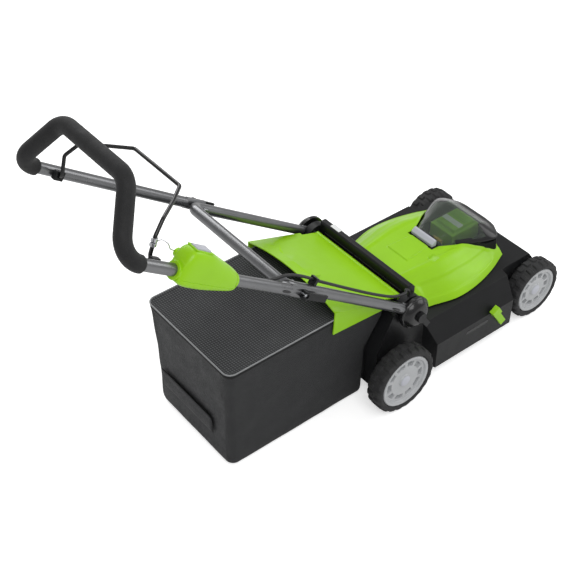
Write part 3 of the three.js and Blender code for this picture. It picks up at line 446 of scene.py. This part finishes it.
# ------------------------------------------------------------------ wheels
def tyre_mesh(name, centre, radius, rim, side):
    lugs = 22
    half = 23.0
    grooves = (0, 2.2, 3.6)  # how far the surface drops between lugs: elsewhere, shoulder, tread
    rows = [  # across the tyre: offset from the middle, radius, and which of the grooves it has
        (-19.5, rim + 0.3, 0), (-half, rim + 4, 0), (-half - 0.6, (radius + rim) / 2, 0),
        (-half, radius - 8, 0), (-half + 1.4, radius - 4.2, 1), (-half + 5, radius - 0.8, 2),
        (-13, radius - 0.2, 2), (-3.2, radius, 2), (-2.2, radius - 3.6, 0),
        (2.2, radius - 3.6, 0), (3.2, radius, 2), (13, radius - 0.2, 2),
        (half - 5, radius - 0.8, 2), (half - 1.4, radius - 4.2, 1), (half, radius - 8, 0),
        (half + 0.6, (radius + rim) / 2, 0), (half, rim + 4, 0), (19.5, rim + 0.3, 0),
    ]
    stations = []
    for k in range(2 * lugs):
        for shift in (-0.11, 0.11, 0.5):
            stations.append(((k + shift) / (2 * lugs), k + (0 if shift > 0 else -1)))
    points = []
    for turn, cell in stations:
        for y, r, groove in rows:
            raised = (cell + (1 if y > 0 else 0)) % 2 == 0
            slant = 0.10 * abs(y) / half / lugs
            angle = 2 * pi * (turn + slant)
            r -= 0 if raised else grooves[groove]
            points.append(centre + Vector((r * cos(angle), side * y, r * sin(angle))) / 1000)
    return mesh_from(name, points, grid_faces(len(stations), len(rows), True, False), 28)


def rim_mesh(name, centre, rim, side):
    """Dished rim: a hub, windows in two sizes and a raised lip. Its outer face looks to side."""
    windows, sunk = 10, 9
    outer = rim - 0.4
    rings = [  # radius, offset along the axle, whether a window sinks it
        (6.6, 17, 0), (15, 17.5, 0), (17.5, 14, 0), (outer - 29, 15.5, 0), (outer - 27, 15.5, 1),
        (outer - 17, 15, 1), (outer - 15.5, 15, 0), (outer - 10, 15.5, 0), (outer - 8, 20.5, 0),
        (outer - 2, 22, 0), (outer, 20, 0), (outer, -19, 0), (outer - 4, -20, 0),
        (outer - 8, -17, 0), (outer - 10, 3, 0), (18, 3, 0), (6.6, 2, 0),
    ]
    stations = []
    for k in range(windows):
        wide = 0.36 if k % 2 else 0.27
        for shift, inside in ((-wide - 0.05, 0), (-wide, 1), (0, 1), (wide, 1), (wide + 0.05, 0),
                              (0.5, 0)):
            stations.append(((k + shift) / windows, inside))
    points = []
    for turn, inside in stations:
        for r, y, pocket in rings:
            depth = sunk if inside and pocket else 0
            angle = 2 * pi * turn
            spot = Vector((r * cos(angle), side * (y - depth), r * sin(angle)))
            points.append(centre + spot / 1000)
    return mesh_from(name, points, grid_faces(len(stations), len(rings), True, True), 30)


CAP = [(0.01, 20.6), (9, 20.4), (12.8, 19.6), (14.2, 18.6), (14.4, 17.8), (0.01, 17.8)]
for place in ("rear_left", "rear_right", "front_left", "front_right"):
    low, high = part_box(place + "_tyre")
    centre = (low + high) / 2
    radius = (high.z - low.z) * 500
    rim_low, rim_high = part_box(place + "_rim")
    rim = (rim_high.z - rim_low.z) * 500
    side = 1 if centre.y > 0 else -1
    tyre = piece(place + "_tread", tyre_mesh(place + "_tread", centre, radius, rim, side), RUBBER,
                 place + "_tyre", hide=[place + "_tyre"])
    bevelled(tyre, 0.0006, 1, 35)
    disc = piece(place + "_wheel_disc", rim_mesh(place + "_wheel_disc", centre, rim, side), RIM,
                 place + "_rim", hide=[place + "_rim"])
    bevelled(disc, 0.0009, 2, 30)
    piece(place + "_cap_dome", lathe(place + "_cap_dome", CAP, centre, 48, 40, side), PALE,
          place + "_hub_cap", hide=[place + "_hub_cap"])

# ------------------------------------------------------------------ handle
SIDES = (("left", 1), ("right", -1))
LOWER_LENGTH = 415
UPPER_Y = 188  # from the middle to an upper tube's centreline
TUBE_RADIUS, CABLE_RADIUS = 12.5, 3.5
GRIP_ALONG, GRIP_ABOVE, GRIP_Y = 500, 125, 111
LOWER_BEND, UPPER_BEND, MESH_STEP = 0.026, 0.046, 0.012
FOAM_START, FOAM_LENGTH, FOAM_ROUNDED = 449, 620, 7
SLOPE = radians(36)
pivot_low, pivot_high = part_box("pivot_cap_left")
PIVOT = Vector(((pivot_low.x + pivot_high.x) / 2, 0, (pivot_low.z + pivot_high.z) / 2))
LEG_BACK = Vector((-cos(SLOPE), 0, sin(SLOPE)))
LEG_UP = Vector((sin(SLOPE), 0, cos(SLOPE)))
FOLD = PIVOT + LEG_BACK * (LOWER_LENGTH / 1000)


def leg(along, above, across):
    """A point on the handle: along the upper leg from the fold joint, above it and across."""
    back, up = LEG_BACK * (along / 1000), LEG_UP * (above / 1000)
    return FOLD + back + up + Vector((0, across / 1000, 0))


def flat_ends(long, flat, thin=0.42, wide=1.18):
    """Scale of a tube that flattens to a tongue over the last flat millimetres of each end."""
    def scale(share):
        t = step(min(share, 1 - share) * long, 0, flat)
        return (thin + (1 - thin) * t, wide + (1 - wide) * t)
    return scale


def subdivided(path, most):
    """The path with points added about every most metres."""
    out = [path[0]]
    for a, b in zip(path, path[1:]):
        steps = max(1, int((b - a).length / most))
        out += [a.lerp(b, k / steps) for k in range(1, steps + 1)]
    return out


ACROSS = Vector((0, 1, 0))


def lower_across(along):
    return 171 + 17 * (-along / LOWER_LENGTH)


LOWER_TOP = lower_across(34)
corners = [leg(-412, 0, 184.6), leg(-372, 0, 185), leg(34, 0, LOWER_TOP),
           leg(34, 0, -LOWER_TOP), leg(-372, 0, -185), leg(-412, 0, -184.6)]
path = subdivided(rounded_path(corners, LOWER_BEND), MESH_STEP)
swept("lower_handle_tube", path, round_section(TUBE_RADIUS), TUBE_AND_HIGHLIGHT, "lower_handle",
      hide=["lower_handle"], scale=flat_ends(length_of(path), 70), first_side=ACROSS)

grip = [leg(GRIP_ALONG, 0, UPPER_Y), leg(GRIP_ALONG, GRIP_ABOVE, GRIP_Y),
        leg(GRIP_ALONG, GRIP_ABOVE, -GRIP_Y), leg(GRIP_ALONG, 0, -UPPER_Y)]
corners = [leg(-20, 0, 188.5), leg(40, 0, UPPER_Y), *grip, leg(40, 0, -UPPER_Y),
           leg(-20, 0, -188.5)]
path = subdivided(rounded_path(corners, UPPER_BEND, 14), MESH_STEP)
swept("upper_handle_tube", path, round_section(TUBE_RADIUS), TUBE_AND_HIGHLIGHT, "upper_handle",
      hide=["upper_handle"], scale=flat_ends(length_of(path), 75), first_side=ACROSS)


def slot_scale(share):
    return (0.25, math.sqrt(max(0.02, 1 - (2 * share - 1) ** 4)))


for label, side in SIDES:
    for at, across, where in ((46, UPPER_Y, "upper"), (-352, 185.5, "lower")):
        slot_path = [leg(at + k * 4.5, 0, side * (across + 12.7)) for k in range(7)]
        swept(f"{where}_slot_{label}", slot_path, round_section(3.2, 12), BLACK_GLOSS,
              where + "_handle", scale=slot_scale, first_side=ACROSS)

foam_corners = [leg(FOAM_START, 0, UPPER_Y), *grip, leg(FOAM_START, 0, -UPPER_Y)]
foam_path = subdivided(rounded_path(foam_corners, UPPER_BEND, 16), MESH_STEP / 2)


def foam_scale(share):
    """Full size except for a rounded edge at each end."""
    edge = min(share, 1 - share) * FOAM_LENGTH
    if edge > FOAM_ROUNDED:
        return (1.0, 1.0)
    grow = 0.78 + 0.22 * math.sqrt(max(0.0, 1 - (1 - edge / FOAM_ROUNDED) ** 2))
    return (grow, grow)


swept("foam_sleeve", foam_path, round_section(17.5, 40), FOAM, "foam_grip", hide=["foam_grip"],
      scale=foam_scale)

# ------------------------------------------------------------------ grass bag
BAG_LOW, BAG_TOP, BAG_BACK, BAG_FRONT = 9, 312, -446, -47.0
MOUTH_DROP = 31  # how far the top sheet comes down to the deck's mouth
MOUTH_HALF, MOUTH_LOW, MOUTH_HIGH = 0.114, 0.078, 0.226
REAR_HALF, SIDE_FROM = 0.126, 0.128  # the grained rear panel, and where the side walls begin


def bag_top(x):
    """Height of the bag's top sheet: level, then down to the deck's mouth."""
    t = min(1.0, max(0.0, (x + 125) / 111))
    return BAG_TOP - MOUTH_DROP * t * t * (1.6 - 0.6 * t)


def bag_front(z):
    """Where the front wall stands at height z: it leans forward to the mouth, then back."""
    if z < 150:
        return BAG_FRONT
    return BAG_FRONT + 46 * min(1.0, (z - 150) / 92) - 13 * max(0.0, (z - 246) / 35)


def bag_ring(level, inset=0.0):
    """Plan of the bag at a share of its height: a rounded rectangle, as (x, y)."""
    z = BAG_LOW + level * (BAG_TOP - MOUTH_DROP - BAG_LOW)
    wide = 146 + 10.5 * level - inset
    back, front = BAG_BACK + 5 * (1 - level) + inset, bag_front(z) - inset
    near, far = max(2.0, 8 - inset * 0.6), max(2.0, 20 - inset * 0.6)
    corners = (  # arc centre, radius, first angle, points along the straight run after it
        (front - near, wide - near, near, 0, 33),
        (back + far, wide - far, far, 90, 25),
        (back + far, -wide + far, far, 180, 33),
        (front - near, -wide + near, near, 270, 25),
    )
    ring = []
    for k, (x, y, radius, start, count) in enumerate(corners):
        arc = [radians(start + 90 * i / 8) for i in range(9)]
        ring += [(x + radius * cos(a), y + radius * sin(a)) for a in arc]
        x1, y1, next_radius, turn, _ = corners[(k + 1) % 4]
        turn = radians(turn)
        last = (x1 + next_radius * cos(turn), y1 + next_radius * sin(turn))
        first = ring[-1]
        for i in range(1, count):
            t = i / count
            ring.append(tuple(a + (b - a) * t for a, b in zip(first, last)))
    return ring


def ripple(a, b):
    return sin(a * 0.031 + 1.3 * sin(b * 0.023)) * sin(b * 0.041 + 0.8 * sin(a * 0.017))


def bag_side_point(x, y, level):
    """Sewn walls: they pull in between the seams and ripple a little."""
    z = BAG_LOW + level * (bag_top(x) - BAG_LOW)
    pull = 2.6 * sin(pi * min(1, max(0, level))) + 0.9 * ripple(x + y, z)
    if abs(y) > 120:
        y -= math.copysign(pull, y)
    if x < -425:
        x += pull * 0.7
    if level < 0.06:
        tuck = 4 * (1 - level / 0.06) ** 2
        y -= math.copysign(tuck, y) if abs(y) > 100 else 0
        x += tuck * 0.6 if x < -400 else (-tuck * 0.4 if x > -80 else 0)
    return P(x, y, z)


def uv_from(mesh, flat):
    """A UV map in metres, where flat(point) gives a point's place on the cloth."""
    layer = mesh.uv_layers.new(name="UVMap")
    for loop in mesh.loops:
        layer.data[loop.index].uv = flat(mesh.vertices[loop.vertex_index].co)


levels = [0, 0.012, 0.03, 0.06] + [0.06 + 0.93 * k / 26 for k in range(1, 27)] + [1.0]
ring_size = len(bag_ring(0.5))
wall_points = []
for level in levels:
    wall_points += [bag_side_point(x, y, level) for x, y in bag_ring(level)]
faces = []
for face in grid_faces(len(levels), ring_size, False, True):
    middle = sum((wall_points[i] for i in face), Vector()) / 4
    in_front = middle.x > P(-60, 0, 0).x
    if in_front and abs(middle.y) < MOUTH_HALF and MOUTH_LOW < middle.z < MOUTH_HIGH:
        continue
    faces.append(face)
faces.append(tuple(range(ring_size)))
walls = mesh_from("bag_walls", wall_points, faces, 60)


def wall_uv(co):
    if abs(co.y) > SIDE_FROM:
        return (co.x, co.z)
    return (co.y, co.z)


uv_from(walls, wall_uv)
walls.materials.append(CLOTH)
walls.materials.append(REAR_CLOTH)
for face in walls.polygons:
    if face.center.x < P(-436, 0, 0).x and abs(face.center.y) < REAR_HALF:
        face.material_index = 1
bag = piece("bag_walls", walls, CLOTH, "grass_bag", hide=["grass_bag"])
modify(bag, "SOLIDIFY", thickness=0.0022, offset=-1)

top_rings = [0, 3, 7, 12, 20, 32, 46, 62, 80, 100, 122, 136]
top_points = []
for inset in top_rings:
    for x, y in bag_ring(1.0, inset):
        edge = min(1.0, inset / 60)
        lift = 1.6 * sin(pi * min(1.0, inset / 7)) if inset < 7 else 0
        sag = 4.5 * edge * edge * (3 - 2 * edge) + 0.7 * ripple(x * 1.3, y * 1.3) * edge
        top_points.append(P(x, y, bag_top(x) + lift - sag))
faces = grid_faces(len(top_rings), ring_size, False, True)
faces.append(tuple(range(len(top_points) - ring_size, len(top_points))))
top = mesh_from("bag_top_sheet", top_points, faces, 60)
uv_from(top, lambda co: (co.x, co.y))
piece("bag_top_sheet", top, MESH_TOP, "grass_bag")

edge = [P(x, y * 1.003, bag_top(x) + 0.4) for x, y in bag_ring(1.0)]
edge = opened([p for p in edge if p.x < P(-30, 0, 0).x])
swept("bag_piping", edge, round_section(1.7, 10), PIPING, "grass_bag")
hem = [bag_side_point(x, y, 0.97) for x, y in bag_ring(0.97)]
hem = opened([p for p in hem if p.x < P(-50, 0, 0).x])
flattened = [(a * 0.35, b * 1.6) for a, b in round_section(2.2, 10)]
swept("bag_hem", hem, flattened, CLOTH_EDGE, "grass_bag",
      first_side=Vector((0, 0, 1)).cross(hem[1] - hem[0]).normalized())
grab = [P(-447.2, 116, 127), P(-447.2, -76, 127), P(-446.6, -84, 119), P(-446.0, -84, 78)]
flattened = [(a * 0.9, b) for a, b in round_section(1.7, 10)]
swept("bag_hand_hold", subdivided(grab, 0.01), flattened, BLACK, "bag_grab_handle",
      hide=["bag_grab_handle"])


def hand_flap(u, v):
    x = -447.0 - 1.1 * sin(pi * min(1, u * 1.4)) + 0.8 * (1 - u)
    return P(x, 114 - 196 * v, 78 + 47 * u)


panel = loft("bag_hand_flap", hand_flap, 8, 30)
uv_from(panel, lambda co: (co.y, co.z))
flap_piece = piece("bag_hand_flap", panel, REAR_CLOTH, "bag_grab_handle")
modify(flap_piece, "SOLIDIFY", thickness=0.0012, offset=0)

# ------------------------------------------------------------------ green cover, lid and battery
COVER_BACK, COVER_END, COVER_EDGE, COVER_WALL = 97, 446, 169.6, 2.6
LID_BACK, LID_FRONT = 284, 462


def spline(points):
    """A smooth curve of value against x through the points."""
    table = smooth_path([Vector((x, y, 0)) for x, y in points], 16)

    def value(x):
        for a, b in zip(table, table[1:]):
            if x <= b.x:
                t = 0 if b.x == a.x else max(0.0, (x - a.x) / (b.x - a.x))
                return a.y + (b.y - a.y) * t
        return table[-1].y
    return value


cover_half = spline([(97, 134), (170, 151), (240, 168), (311, 164), (382, 146), (446, 120)])
cover_top = spline([(97, 224), (260, 229), (380, 222), (446, 203)])
lid_half = spline([(284, 42), (330, 66), (372, 88), (420, 106), (442, 98), (462, 66)])


def cover_height(x, y):
    half = cover_half(x)
    w = abs(y) / half
    top = cover_top(x)
    fall = max(0.0, (w - 0.46) / 0.54)
    z = top - (top - COVER_EDGE) * (0.34 * fall + 0.66 * fall ** 2.4)
    # creased shoulder, recessed side band and the flange under it
    z += 2.6 * step(w, 0.40, 0.47) * (1 - step(w, 0.5, 0.62))
    along_band = step(x, 150, 165) * (1 - step(x, 392, 410))
    z -= 3.2 * along_band * step(w, 0.70, 0.73) * (1 - step(w, 0.90, 0.93))
    # centre panel in front of the bar, raised with a soft step
    width = 37 - 8 * (x - 185) / 90
    along_panel = step(x, 184, 187) * (1 - step(x, 272, 276))
    z += 2.2 * (along_panel * (1 - step(abs(y), width - 2, width + 1)))
    # finger pocket on the right
    along_pocket = step(x, 232, 236) * (1 - step(x, 252, 254))
    pocket = along_pocket * step(-y, 58, 61) * (1 - step(-y, 78, 82))
    z -= 5 * pocket * (1 - (x - 234) / 30)
    # shallow valley beside the lid
    beside = 4 * step(x, 286, 330) * step(abs(y), lid_half(x) + 3, lid_half(x) + 10)
    z -= beside * (1 - step(w, 0.78, 0.9))
    return max(z, COVER_EDGE - 0.2)


def evaluated(item):
    graph = bpy.context.evaluated_depsgraph_get()
    return bpy.data.meshes.new_from_object(item.evaluated_get(graph))


def cut(mesh, cutter_mesh):
    """The mesh with the cutter's solid taken out of it."""
    a, b = placed("work_body", mesh), placed("work_cutter", cutter_mesh)
    modify(a, "BOOLEAN", object=b, operation="DIFFERENCE", solver="EXACT")
    result = evaluated(a)
    for item in (a, b):
        bpy.data.objects.remove(item)
    return result


def rectangle(x0, x1, y0, y1):
    return [(x0, y0), (x0, y1), (x1, y1), (x1, y0)]


def prism(name, outline, low, high):
    """An upright block: the outline, as (x, y) in millimetres, between two heights."""
    count = len(outline)
    points = [P(x, y, z) for z in (low, high) for x, y in outline]
    faces = [tuple(range(count))[::-1], tuple(range(count, 2 * count))]
    faces += [(k, (k + 1) % count, count + (k + 1) % count, count + k) for k in range(count)]
    return mesh_from(name, points, faces, 30)


def block(name, outline, low, high, material, node):
    return piece(name, prism(name, outline, low, high), material, node)


def lid_outline(extra, start, steps=40):
    """The lid's plan from start to its front, larger by extra all round."""
    side = []
    for k in range(steps + 1):
        x = start + (LID_FRONT - start) * k / steps
        past = {0: -extra, steps: extra}.get(k, 0)
        side.append((x + past, lid_half(x) + extra))
    return side + [(x, -y) for x, y in reversed(side)]


columns = [-1 + 2 * k / 150 for k in range(151)]
rows = [COVER_BACK + (COVER_END - COVER_BACK) * k / 120 for k in range(121)]
skin = [(x, w * cover_half(x)) for x in rows for w in columns]
layers = [P(x, y, cover_height(x, y)) for x, y in skin]
layers += [P(x, y * 0.985, cover_height(x, y) - COVER_WALL) for x, y in skin]
size = len(skin)
faces = grid_faces(len(rows), len(columns))
faces += [tuple(i + size for i in face)[::-1] for face in grid_faces(len(rows), len(columns))]
rim = list(range(len(columns)))
rim += [r * len(columns) + len(columns) - 1 for r in range(1, len(rows))]
rim += [(len(rows) - 1) * len(columns) + k for k in range(len(columns) - 2, -1, -1)]
rim += [r * len(columns) for r in range(len(rows) - 2, 0, -1)]
faces += [(a, b, b + size, a + size) for a, b in zip(rim, rim[1:] + rim[:1])]
cover_mesh = mesh_from("cover_shell", layers, faces, 32)
cover_mesh = cut(cover_mesh, prism("lid_hole", lid_outline(2, 264), 120, 300))
smooth(cover_mesh, 32)
piece("cover_shell", cover_mesh, GREEN, "top_cover", hide=["top_cover"])


def lid_point(u, v):
    x = LID_FRONT - (LID_FRONT - LID_BACK) * u
    w = 2 * v - 1
    front = step(x, 404, LID_FRONT)
    ridge = 252 - 9 * (1 - step(x, LID_BACK, 330)) - 24 * front
    side = max(0.0, (abs(w) - 0.56) / 0.44)
    z = ridge - (ridge - 223) * (0.7 * side + 0.3 * side ** 3)
    return P(x, -w * lid_half(x), z)


lid_mesh = loft("lid_window", lid_point, 44, 48, 35)
lid = piece("lid_window", lid_mesh, SMOKED, "battery_lid", hide=["battery_lid"])
lid_mesh.materials.append(BLACK_GLOSS)
for face in lid_mesh.polygons:
    x = (face.center.x - AXLE_X) * 1000
    y = abs(face.center.y) * 1000
    black_rim = x > 436 or x < 287 or (x > 330 and y > lid_half(x) - 9)
    if black_rim or (x > 404 and y > 62):
        face.material_index = 1
modify(lid, "SOLIDIFY", thickness=0.0022, offset=-1)
softened("battery_tray", 0.8)
softened("battery_pack", 3.0)
softened("safety_key", 1.0)
softened("lid_finger_pull", 1.6)
block("pack_label", rectangle(368, 385, -31, 31), 237.6, 238.3, LABEL_AND_GLINT, "battery_pack")
for k in range(4):
    block(f"pack_rib_{k}", rectangle(394 + 7 * k, 397 + 7 * k, -29, 29), 237, 238.8, DEEP_GREEN,
          "battery_pack")
# painted highlight: a pale slanted strip on the glossy cover stands in for a glint
block("cover_lamp", [(248, 72), (278, 62), (280, 66), (250, 76)], 224, 227.6, LABEL_AND_GLINT, "top_cover")

# ------------------------------------------------------------------ deck, flap, bar and housings
for node, width in (("deck", 2.4), ("rear_flap", 1.4), ("transverse_bar", 1.6),
                    ("bag_mouth_frame", 1.2), ("motor", 1.0),
                    ("motor_controller", 1.2), ("fan_and_blade_carrier", 0.8),
                    ("height_lever", 1.6), ("cable_clip", 0.8), ("safety_button", 1.6),
                    ("front_axle", 0.6), ("rear_axle", 0.6)):
    softened(node, width)
for side in ("left", "right"):
    for node, width in (("pivot_knob_", 1.8), ("pivot_bolt_", 0.6), ("fold_bolt_", 0.8),
                        ("fold_lever_", 1.6), ("bail_bracket_", 1.4)):
        softened(node + side, width)
softened("blade", 0.5, material=STEEL)
softened("blade_bolt", 0.6)

for label, side in SIDES:
    low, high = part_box("pivot_cap_" + label)
    centre = (low + high) / 2
    deep = (high.y - low.y) * 500
    dome = [(5.6, -deep), (41.8, -deep), (42, -deep + 8), (40.4, -deep + 10.5),
            (38.2, -deep + 11), (37.4, -deep + 12.6), (34.5, deep - 7.6), (30, deep - 3.8),
            (25.5, deep - 1.4), (19.2, deep - 0.3), (14, deep), (5.6, deep)]
    name = "pivot_dome_" + label
    piece(name, lathe(name, dome, centre, 72, 32, side), BLACK_GLOSS, "pivot_cap_" + label,
          hide=["pivot_cap_" + label])

# painted highlight: a thin grey metal strip across the bar stands in for a highlight line
block("bar_strip", rectangle(67.4, 68.2, -140, 140), 262, 266, TUBE_AND_HIGHLIGHT, "transverse_bar")
block("bar_tag", rectangle(74, 87, 96, 128), 289.8, 290.5, LABEL_AND_GLINT, "transverse_bar")

# plain inset in the skirt ahead of the height lever
outline = [(228, -219.4), (304, -219.4), (304, -217.5), (228, -217.5)]
inset = block("skirt_inset", outline, 85, 96, BLACK_GLOSS, "deck")
modify(inset, "BEVEL", width=0.0009, segments=2)

# ------------------------------------------------------------------ bail, wire and cables
BAIL_ALONG = 408


def bail_side(side):
    """The bail's corners on one side, from its pivot to its middle run."""
    corners = ((BAIL_ALONG, 0, 170), (BAIL_ALONG, 0, 156), (423, 46, 160), (413, 78, 148),
               (377, 101, 115), (342, 122, 78))
    return [leg(along, above, side * across) for along, above, across in corners]


def nipped(share):
    """Scale of a collar: full size but for its two end faces."""
    return (0.86, 0.86) if share in (0, 1) else (1, 1)


bail_path = subdivided(rounded_path(bail_side(1) + bail_side(-1)[::-1], 0.011, 8), 0.01)
swept("bail_rod", bail_path, round_section(4, 18), BLACK_GLOSS, "bail_lever", hide=["bail_lever"])
low_end, high_end = bail_side(-1)[1:3]
axis = (high_end - low_end).normalized()
for k, (share, grow) in enumerate(((0.66, 6.8), (0.86, 6.4))):
    middle = low_end.lerp(high_end, share)
    ring_path = [middle - axis * 0.0042, middle - axis * 0.0036, middle + axis * 0.0036,
                 middle + axis * 0.0042]
    swept(f"bail_collar_{k}", ring_path, round_section(grow, 24), ZINC, "bail_collar_and_wire",
          hide=["bail_collar_and_wire"], scale=nipped)
wire_points = ((418, 31, -160), (412, 44, -166), (398, 42, -172), (380, 30, -166), (358, 26, -160))
wire = smooth_path([leg(*point) for point in wire_points], 8)
swept("bail_wire", wire, round_section(1.1, 10), ZINC, "bail_collar_and_wire")

CABLE_GAP = 1.5  # between the cable and the upper tube
cable_y = -(UPPER_Y - TUBE_RADIUS - CABLE_RADIUS - CABLE_GAP)
upper_points = [(214, 3, 0), (187.7, 2, 0), (150, 2, 0), (100, 4, 0), (72, 12, 0), (50, 21, 1),
                (20, 25, 3), (-20, 25, 4), (-52, 22, 4)]
lower_points = [(-52.3, 22, 4), (-100, 21, 1), (-180, 19, -2), (-260, 18, -4), (-330, 21, -5),
                (-368, 34, -5)]
upper_path = smooth_path([leg(d, h, cable_y + y) for d, h, y in upper_points], 8)
lower_path = [leg(d, h, cable_y + y) for d, h, y in lower_points]
into_housing = ((-10, 58), (0, 50), (0, 37.3))
lower_path += [PIVOT + Vector((dx, cable_y, dz)) / 1000 for dx, dz in into_housing]
lower_path = smooth_path(lower_path, 8)
upper_bodies = ("lower_handle_body", "upper_handle_body")
lower_bodies = ("mower", "lower_handle_body")
for name, path, node, bodies in (
        ("cable_upper", upper_path, "switch_cable_upper", upper_bodies),
        ("cable_lower", lower_path, "switch_cable_lower", lower_bodies)):
    mesh = sweep(name, path, round_section(CABLE_RADIUS, 14))
    item = placed(name, mesh)
    mesh.materials.append(CABLE)
    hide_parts(node)
    if name == "cable_upper":
        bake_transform(item)
    else:
        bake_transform(item)

# ------------------------------------------------------------------ switch box details
BOX_LOW_END, BOX_HIGH_END, BOX_SEAM = 211, 368, -8
box_wide = spline([(211, 15.5), (224, 21), (262, 25), (330, 25.5), (358, 24), (368, 18)])
box_rise = spline([(211, 15), (226, 24), (268, 38), (312, 50), (354, 50.5), (368, 30)])
box_drop = spline([(211, 15), (232, 20), (280, 23), (340, 23.5), (360, 21), (368, 17)])


def box_shell(name, node, upper):
    """One half of the switch box: a rounded section, closed at its seam and at both ends."""
    points, sides, stations = [], 29, 41
    for i in range(stations):
        along = BOX_LOW_END + (BOX_HIGH_END - BOX_LOW_END) * i / (stations - 1)
        square = 0.78 - 0.3 * step(along, 250, 312)
        wide = box_wide(along)
        reach = box_rise(along) - BOX_SEAM if upper else box_drop(along) + BOX_SEAM
        for k in range(sides):
            turn = pi * k / (sides - 1)
            across = wide * math.copysign(abs(cos(turn)) ** square, cos(turn))
            height = reach * sin(turn) ** square if 0 < k < sides - 1 else 0
            above = BOX_SEAM + (height if upper else -height)
            points.append(leg(along, above, across - UPPER_Y))
    faces = grid_faces(stations, sides, False, True)
    faces += [tuple(range(sides)), tuple(range(len(points) - sides, len(points)))]
    item = piece(name, mesh_from(name, points, faces, 44), GREEN, node, hide=[node])
    bevelled(item, 0.0012, 2, 44)


box_shell("switch_shell_top", "switch_box_top", True)
box_shell("switch_shell_base", "switch_box_base", False)
for k, (at, radius, long) in enumerate(((368, 19, 9), (212, 16.4, 6))):
    stops = (at - long / 2, at - long / 2 + 1, at + long / 2 - 1, at + long / 2)
    swept(f"box_collar_{k}", [leg(stop, 0, -UPPER_Y) for stop in stops], round_section(radius, 40),
          GREEN, "switch_box_top", scale=lambda s: (0.93, 0.93) if s in (0, 1) else (1, 1))
frame_points = ((311, 50.2, -174), (353, 51.6, -174), (353, 51.6, -202), (311, 50.2, -202),
                (311, 50.2, -174))
frame_path = subdivided([leg(*point) for point in frame_points], 0.006)
swept("button_frame", frame_path, round_section(1.8, 8), GREEN, "switch_box_top")
boss = [leg(354, 24, across) for across in (-170, -159.5, -158.4)]
swept("box_boss_cap", boss, round_section(9.5, 32), GREEN, "switch_box_top",
      scale=lambda s: (1, 1) if s < 0.9 else (0.8, 0.8), first_side=Vector((1, 0, 0)))

# ------------------------------------------------------------------ camera, light and floor
CAMERA_AT = P(-1395.8, -1558.0, 2051.9)
LENS, SENSOR = 72.5, 36
yaw, pitch, roll = radians(51.8), radians(-41.2), radians(0.1)
camera = placed("camera", bpy.data.cameras.new("camera"))
camera.data.sensor_width = SENSOR
camera.data.lens = LENS
camera.data.clip_start, camera.data.clip_end = 0.05, 50
looking = Vector((cos(pitch) * cos(yaw), cos(pitch) * sin(yaw), sin(pitch)))
turn = looking.to_track_quat("-Z", "Y").to_matrix().to_4x4() @ Matrix.Rotation(-roll, 4, "Z")
camera.matrix_world = Matrix.Translation(CAMERA_AT) @ turn
bpy.context.scene.camera = camera


def lamp(name, at, size, power, target=(0, 0, 0.2)):
    data = bpy.data.lights.new(name, "AREA")
    data.shape = "RECTANGLE"
    data.size, data.size_y = size
    data.energy = power
    item = placed(name, data)
    item.location = at
    item.rotation_euler = (Vector(target) - Vector(at)).to_track_quat("-Z", "Y").to_euler()


lamp("key", (-1.2, -2.2, 3.4), (2.2, 2.2), 58)
lamp("fill", (2.6, -1.0, 1.9), (2.0, 2.0), 26)
lamp("rim_light", (0.6, 2.8, 2.6), (2.6, 1.6), 46)

world = bpy.data.worlds.new("studio")
bpy.context.scene.world = world
world.use_nodes = True
wt = world.node_tree
wt.nodes.clear()


def background(strength):
    node = wt.nodes.new("ShaderNodeBackground")
    node.inputs["Color"].default_value = (1, 1, 1, 1)
    node.inputs["Strength"].default_value = strength
    return node.outputs["Background"]


# the object is lit by a soft grey, and the camera and the clear lid see plain white behind it
out = wt.nodes.new("ShaderNodeOutputWorld")
paths = wt.nodes.new("ShaderNodeLightPath")
white = wt.nodes.new("ShaderNodeMath")
white.operation = "MAXIMUM"
link(wt, paths.outputs["Is Camera Ray"], white.inputs[0])
link(wt, paths.outputs["Is Transmission Ray"], white.inputs[1])
mix = wt.nodes.new("ShaderNodeMixShader")
link(wt, white.outputs["Value"], mix.inputs["Fac"])
link(wt, background(0.52), mix.inputs[1])
link(wt, background(1.0), mix.inputs[2])
link(wt, mix.outputs["Shader"], out.inputs["Surface"])

floor_mesh = bpy.data.meshes.new("floor")
floor_mesh.from_pydata([(-6, -6, 0), (6, -6, 0), (6, 6, 0), (-6, 6, 0)], [], [(0, 1, 2, 3)])
floor = placed("floor", floor_mesh)
floor_look, ft, shader = nodes_of("pale_floor")
shader.inputs["Roughness"].default_value = 0.8
link(ft, ramp(ft, noise(ft, 2.0), greys(0.86, 0.9)), shader.inputs["Base Color"])
glow = ft.nodes.new("ShaderNodeEmission")
glow.inputs["Strength"].default_value = 0.55
lit = ft.nodes.new("ShaderNodeAddShader")
camera_ray = ft.nodes.new("ShaderNodeLightPath")
choose = ft.nodes.new("ShaderNodeMixShader")
link(ft, shader.outputs["BSDF"], lit.inputs[0])
link(ft, glow.outputs["Emission"], lit.inputs[1])
link(ft, camera_ray.outputs["Is Camera Ray"], choose.inputs["Fac"])
link(ft, shader.outputs["BSDF"], choose.inputs[1])
link(ft, lit.outputs["Shader"], choose.inputs[2])
link(ft, choose.outputs["Shader"], ft.nodes["Material Output"].inputs["Surface"])
floor_mesh.materials.append(floor_look)
bpy.context.scene.view_settings.view_transform = "Standard"

# ------------------------------------------------------------------ the CAD pieces that stay
for node, item in frame["nodes"].items():
    item.data.materials.clear()
    item.data.materials.append(LOOK[SLOT[node]])
